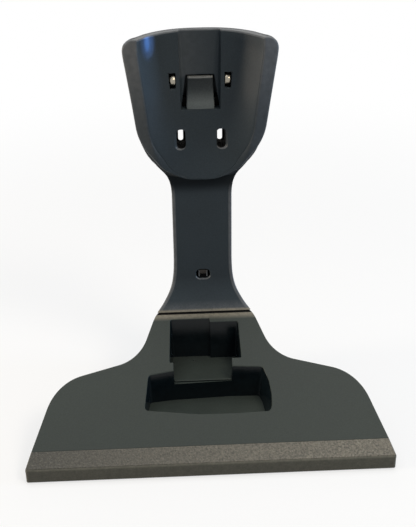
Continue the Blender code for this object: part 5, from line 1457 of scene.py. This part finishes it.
strip_plastic = coarse("strip_plastic", STRIP_DARK, STRIP_MIDDLE, STRIP_PALE, 0.52)
catch_plastic = plastic("catch_plastic", (0.030, 0.026, 0.022), 0.4, specular=0.2)
plate_plastic = plastic("plate_plastic", (0.020, 0.022, 0.024), 0.55, 1500.0, 0.2)
jack_plastic = plastic("jack_plastic", (0.008, 0.008, 0.009), 0.35)
carrier_plastic = plastic("carrier_plastic", (0.0035, 0.0035, 0.0040), 0.7, 1800.0, 0.08, specular=0.1)
red_lead = plastic("red_lead", (0.30, 0.016, 0.014), 0.4, 1800.0, 0.05)
black_lead = plastic("black_lead", (0.012, 0.012, 0.013), 0.4, 1800.0, 0.05)
foot_rubber = plastic("foot_rubber", (0.012, 0.012, 0.012), 0.8, 1400.0, 0.3)
contact_metal = metal("contact_metal", (0.30, 0.275, 0.225), 0.24, (1.0, 1.0, 0.12))
screw_steel = metal("screw_steel", (0.46, 0.46, 0.47), 0.32, (1.0, 1.0, 1.0), 0.03)
pin_metal = metal("pin_metal", (0.66, 0.60, 0.46), 0.25, (1.0, 0.1, 1.0))

# Painted highlights, painted shade, painted light and tan bands over them: first the base's tan bands, on its
# front face and by the seam, then what is marked, then what goes by place
NECK_BAND_REACH = 12.0
NECK_PALE_BAND = [(0.0, 1.0), (1.5, 0.8), (8.0, 0.0)]
NECK_FOOT_TAN_LINE = [(0.0, 1.0), (1.0, 1.0), (2.0, 0.0)]
BASE_TAN_BANDS = [(0.0, 0.42), (1.2, 0.42), (1.7, 0.0), (EASE_START_Y + 0.5, 0.0), (SEAM_Y - 2.0, 0.9),
             (SEAM_Y, 1.0), (SEAM_Y + 2.0, 0.0)]
STRIP_LIGHT_RAMP = [(0.0, 0.0), (BASE_HALF_WIDTH, 0.52), (2 * BASE_HALF_WIDTH, 0.86)]
TONGUE_SHADE = [(0.0, 0.0), (4.0, 0.08), (13.0, 0.85), (21.3, 0.95), (21.6, 0.0)]
TONGUE_TOP_HIGHLIGHT = [(0.0, 0.0), (21.2, 0.0), (21.5, 1.0), (22.2, 1.0)]
SHADE_ROUGH = 0.95
base_mask = placed_mask(base_plastic, "Y", -DEPTH / 2, DEPTH, BASE_TAN_BANDS, 0.3)
overlay(base_plastic, joined(base_plastic, base_mask, painted_mask(base_plastic, "crown")), TAN_BAND_COLOUR, 0.5)
# Marked faces and points: pocket walls polished and painted darker as shade; painted black shade on the base
# under the column, inside the wall slots and on the catch below its nose; painted highlights on the lips,
# rim, channel, neck edges, slot and window rims and the catch's ribs; painted shade on the neck under the bib
MARKED = [(base_plastic, "polish_and_shade_paint", WALL_SHADE_COLOUR, 0.12), (base_plastic, "shade", SHADE_COLOUR, SHADE_ROUGH),
          (column_plastic, "highlight_paint", LIP_COLOUR, 0.40),
          (column_plastic, "painted_bib_shade", shaded(COLUMN_COLOUR, 0.3), 0.92),
          (column_plastic, "rim_highlight_paint", LIP_COLOUR, 0.40), (column_plastic, "shade", SHADE_COLOUR, SHADE_ROUGH),
          (cover_plastic, "shade", SHADE_COLOUR, SHADE_ROUGH),
          (catch_plastic, "highlight_paint", LIP_COLOUR, 0.40), (catch_plastic, "shade", SHADE_COLOUR, SHADE_ROUGH)]
for material, mask, colour, rough in MARKED:
    overlay(material, painted_mask(material, mask), colour, rough)
# By place: painted shade on the tongue's upper part and a painted highlight along its top edge, a pale band
# and a tan line at the neck's foot, and painted light on the strip, lighter towards the right
PLACED = [(tongue_plastic, ("Z", TONGUE_LOW_Z, TONGUE_REACH, TONGUE_SHADE, 0.1), TONGUE_DARK, 0.4),
          (tongue_plastic, ("Z", TONGUE_LOW_Z, TONGUE_REACH, TONGUE_TOP_HIGHLIGHT, 0.1), TONGUE_HIGHLIGHT_COLOUR, 0.4),
          (column_plastic, ("Z", COLUMN_LOW_Z, NECK_BAND_REACH, NECK_PALE_BAND, 0.5), LIP_COLOUR, 0.45),
          (column_plastic, ("Z", NECK_LOW_Z, NECK_BAND_REACH, NECK_FOOT_TAN_LINE, 0.4), TAN_BAND_COLOUR, 0.45),
          (strip_plastic, ("X", -BASE_HALF_WIDTH, 2 * BASE_HALF_WIDTH, STRIP_LIGHT_RAMP, 0.9), STRIP_LIT_COLOUR, 0.45)]
for material, place, colour, rough in PLACED:
    overlay(material, placed_mask(material, *place), colour, rough)

dress(front_shell, "stand", column_plastic, ["front_shell"])
dress(rear_cover, "stand", cover_plastic, ["rear_cover"])
dress(base_shell, "stand", base_plastic, ["base_shell"])
dress(grip_strip, "stand", strip_plastic, ["grip_strip"], 60.0)
dress(latch_tongue, "tongue", tongue_plastic, ["latch_tongue"])
dress(contact_left, "left_leaf", contact_metal, ["contact_left"], 50.0)
dress(contact_right, "right_leaf", contact_metal, ["contact_right"], 50.0)
dress(release_catch, "catch", catch_plastic, ["release_catch"])
dress(inlet, "stand", jack_plastic, ["dc_jack"])
dress(inlet_pin, "stand", pin_metal, ["jack_pin"])
dress(base_plate, "stand", plate_plastic, ["base_plate"])
for node, item in screws.items():
    dress(item, "stand", screw_steel, [node])
for node, item in feet.items():
    dress(item, "stand", foot_rubber, [node])
CARRIED_OVER = {"contact_carrier": carrier_plastic, "carrier_screw_left": screw_steel,
                "carrier_screw_right": screw_steel, "lead_positive": red_lead, "lead_negative": black_lead}
for node, material in CARRIED_OVER.items():
    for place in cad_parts[node].material_slots:
        place.material = material

# Floor: lit white that keeps the object's shadow, running out into the white of the backdrop
FLOOR_REACH = 6.0
FLOOR_WHITE = (0.97, 0.97, 0.97, 1.0)
FLOOR_BOUNCE = (0.30, 0.30, 0.30, 1.0)
FLOOR_GLOW = 0.6
FADE_START = 0.30
FADE_END = 0.80


# One where a ray comes from the eye, a reflection or through glass
def seen_rays(tree):
    path = add_node(tree, "LightPath", {})
    total = path.outputs["Is Camera Ray"]
    for kind in ("Is Glossy Ray", "Is Transmission Ray"):
        values = {0: total, 1: path.outputs[kind]}
        total = add_node(tree, "Math", values, operation="ADD", use_clamp=True).outputs["Value"]
    return total


def shader_mix(tree, factor, first, second):
    return add_node(tree, "MixShader", {0: factor, 1: first.outputs[0], 2: second.outputs[0]})


def stage_floor():
    mesh = bpy.data.meshes.new("floor")
    corners = [(x * FLOOR_REACH, y * FLOOR_REACH, 0.0) for x, y in ((-1, -1), (1, -1), (1, 1), (-1, 1))]
    mesh.from_pydata(corners, [], [(0, 1, 2, 3)])
    item = bpy.data.objects.new("floor", mesh)
    scene.collection.objects.link(item)
    material, tree, shader = node_tree("floor")
    tree.nodes.remove(shader)
    lit = add_node(tree, "BsdfDiffuse", {"Color": FLOOR_WHITE})
    bounce = add_node(tree, "BsdfDiffuse", {"Color": FLOOR_BOUNCE})
    white = add_node(tree, "Emission", {"Strength": 1.0})
    distance = add_node(tree, "VectorMath", {0: object_space(tree)}, operation="LENGTH").outputs["Value"]
    values = {"Value": distance, "From Min": FADE_START, "From Max": FADE_END, "To Min": FLOOR_GLOW}
    fade = add_node(tree, "MapRange", values, interpolation_type="SMOOTHSTEP")
    view = shader_mix(tree, fade.outputs["Result"], lit, white)
    surface = shader_mix(tree, seen_rays(tree), bounce, view)
    tree.links.new(surface.outputs[0], tree.nodes["Material Output"].inputs["Surface"])
    mesh.materials.append(material)


stage_floor()


def aimed(name, data, place, aim):
    item = bpy.data.objects.new(name, data)
    item.location = place
    item.rotation_euler = (Vector(aim) - Vector(place)).to_track_quat("-Z", "Y").to_euler()
    scene.collection.objects.link(item)
    return item


# Soft lamps: one wide overhead, warm ones in front, behind and on the left, and a cool one on the right
def lamp(name, place, aim, size, power, colour):
    data = bpy.data.lights.new(name, "AREA")
    data.shape = "RECTANGLE"
    data.size = size[0]
    data.size_y = size[1]
    data.energy = power
    data.color = colour
    aimed(name, data, place, aim)


lamp("overhead", (0.0, 0.30, 1.7), (0.0, 0.05, 0.1), (2.4, 1.3), 18.0, (1.0, 0.99, 0.97))
lamp("front_top", (0.70, -0.70, 1.25), (0.05, 0.0, 0.1), (0.5, 0.4), 7.0, (1.0, 0.89, 0.74))
lamp("warm_back", (0.1, 1.9, 1.05), (0.0, 0.0, 0.05), (1.6, 0.5), 2.0, (1.0, 0.85, 0.66))
lamp("cool_side", (1.15, -0.10, 0.14), (0.0, 0.0, 0.18), (0.2, 0.5), 7.0, (0.45, 0.68, 1.0))
lamp("warm_side", (-1.15, -0.10, 0.14), (0.0, 0.0, 0.18), (0.2, 0.5), 11.0, (1.0, 0.86, 0.70))

# Small blue glint high on the cradle's left wall: a bright core in a wider, weaker halo
GLINT_PLACE = (0.60, -0.17, 0.16)
GLINT_AIM = (-0.0355, 0.0355, 0.2835)
GLINT_COLOUR = (0.14, 0.36, 1.0)
GLINT_SOFTNESS = 0.001


def glint(name, cone, narrow, power):
    data = bpy.data.lights.new(name, "SPOT")
    data.energy = power
    data.color = GLINT_COLOUR
    data.spot_size = math.radians(cone)
    data.spot_blend = 1.0
    data.shadow_soft_size = GLINT_SOFTNESS
    aimed(name, data, GLINT_PLACE, GLINT_AIM).scale = (narrow, 1.0, 1.0)


glint("glint_core", 1.3, 0.40, 62.0)
glint("glint_halo", 2.3, 0.52, 28.0)

# World: white where it is seen or mirrored, a dim cool fill for everything else
FILL_COLOUR = (0.80, 0.90, 1.0, 1.0)
FILL_STRENGTH = 0.22
WHITE = (1.0, 1.0, 1.0, 1.0)
world = bpy.data.worlds.new("studio")
scene.world = world
world.use_nodes = True
tree = world.node_tree
ambient = tree.nodes["Background"]
ambient.inputs["Color"].default_value = FILL_COLOUR
ambient.inputs["Strength"].default_value = FILL_STRENGTH
backdrop = add_node(tree, "Background", {"Color": WHITE, "Strength": 1.0})
surface = shader_mix(tree, seen_rays(tree), ambient, backdrop)
tree.links.new(surface.outputs[0], tree.nodes["World Output"].inputs["Surface"])

# Camera at the photo's place and angle
CAMERA_PLACE = Vector((-0.0237, -0.6203, 0.4648))
PITCH = math.radians(28.0)
YAW = math.radians(2.35)
ROLL = math.radians(-0.79)
FOCAL_PIXELS = 1000.0
FRAME_HEIGHT = 527
ahead = Vector((math.sin(YAW) * math.cos(PITCH), math.cos(YAW) * math.cos(PITCH), -math.sin(PITCH)))
level = Vector((math.cos(YAW), -math.sin(YAW), 0.0))
upright = level.cross(ahead)
right = level * math.cos(ROLL) + upright * math.sin(ROLL)
up = upright * math.cos(ROLL) - level * math.sin(ROLL)
data = bpy.data.cameras.new("camera")
data.sensor_width = 36.0
data.lens = data.sensor_width * FOCAL_PIXELS / FRAME_HEIGHT
camera = bpy.data.objects.new("camera", data)
scene.collection.objects.link(camera)
axes = Matrix((right, up, -ahead)).transposed().to_4x4()
camera.matrix_world = Matrix.Translation(CAMERA_PLACE) @ axes
scene.camera = camera
scene.view_settings.view_transform = "Standard"

bpy.context.view_layer.update()
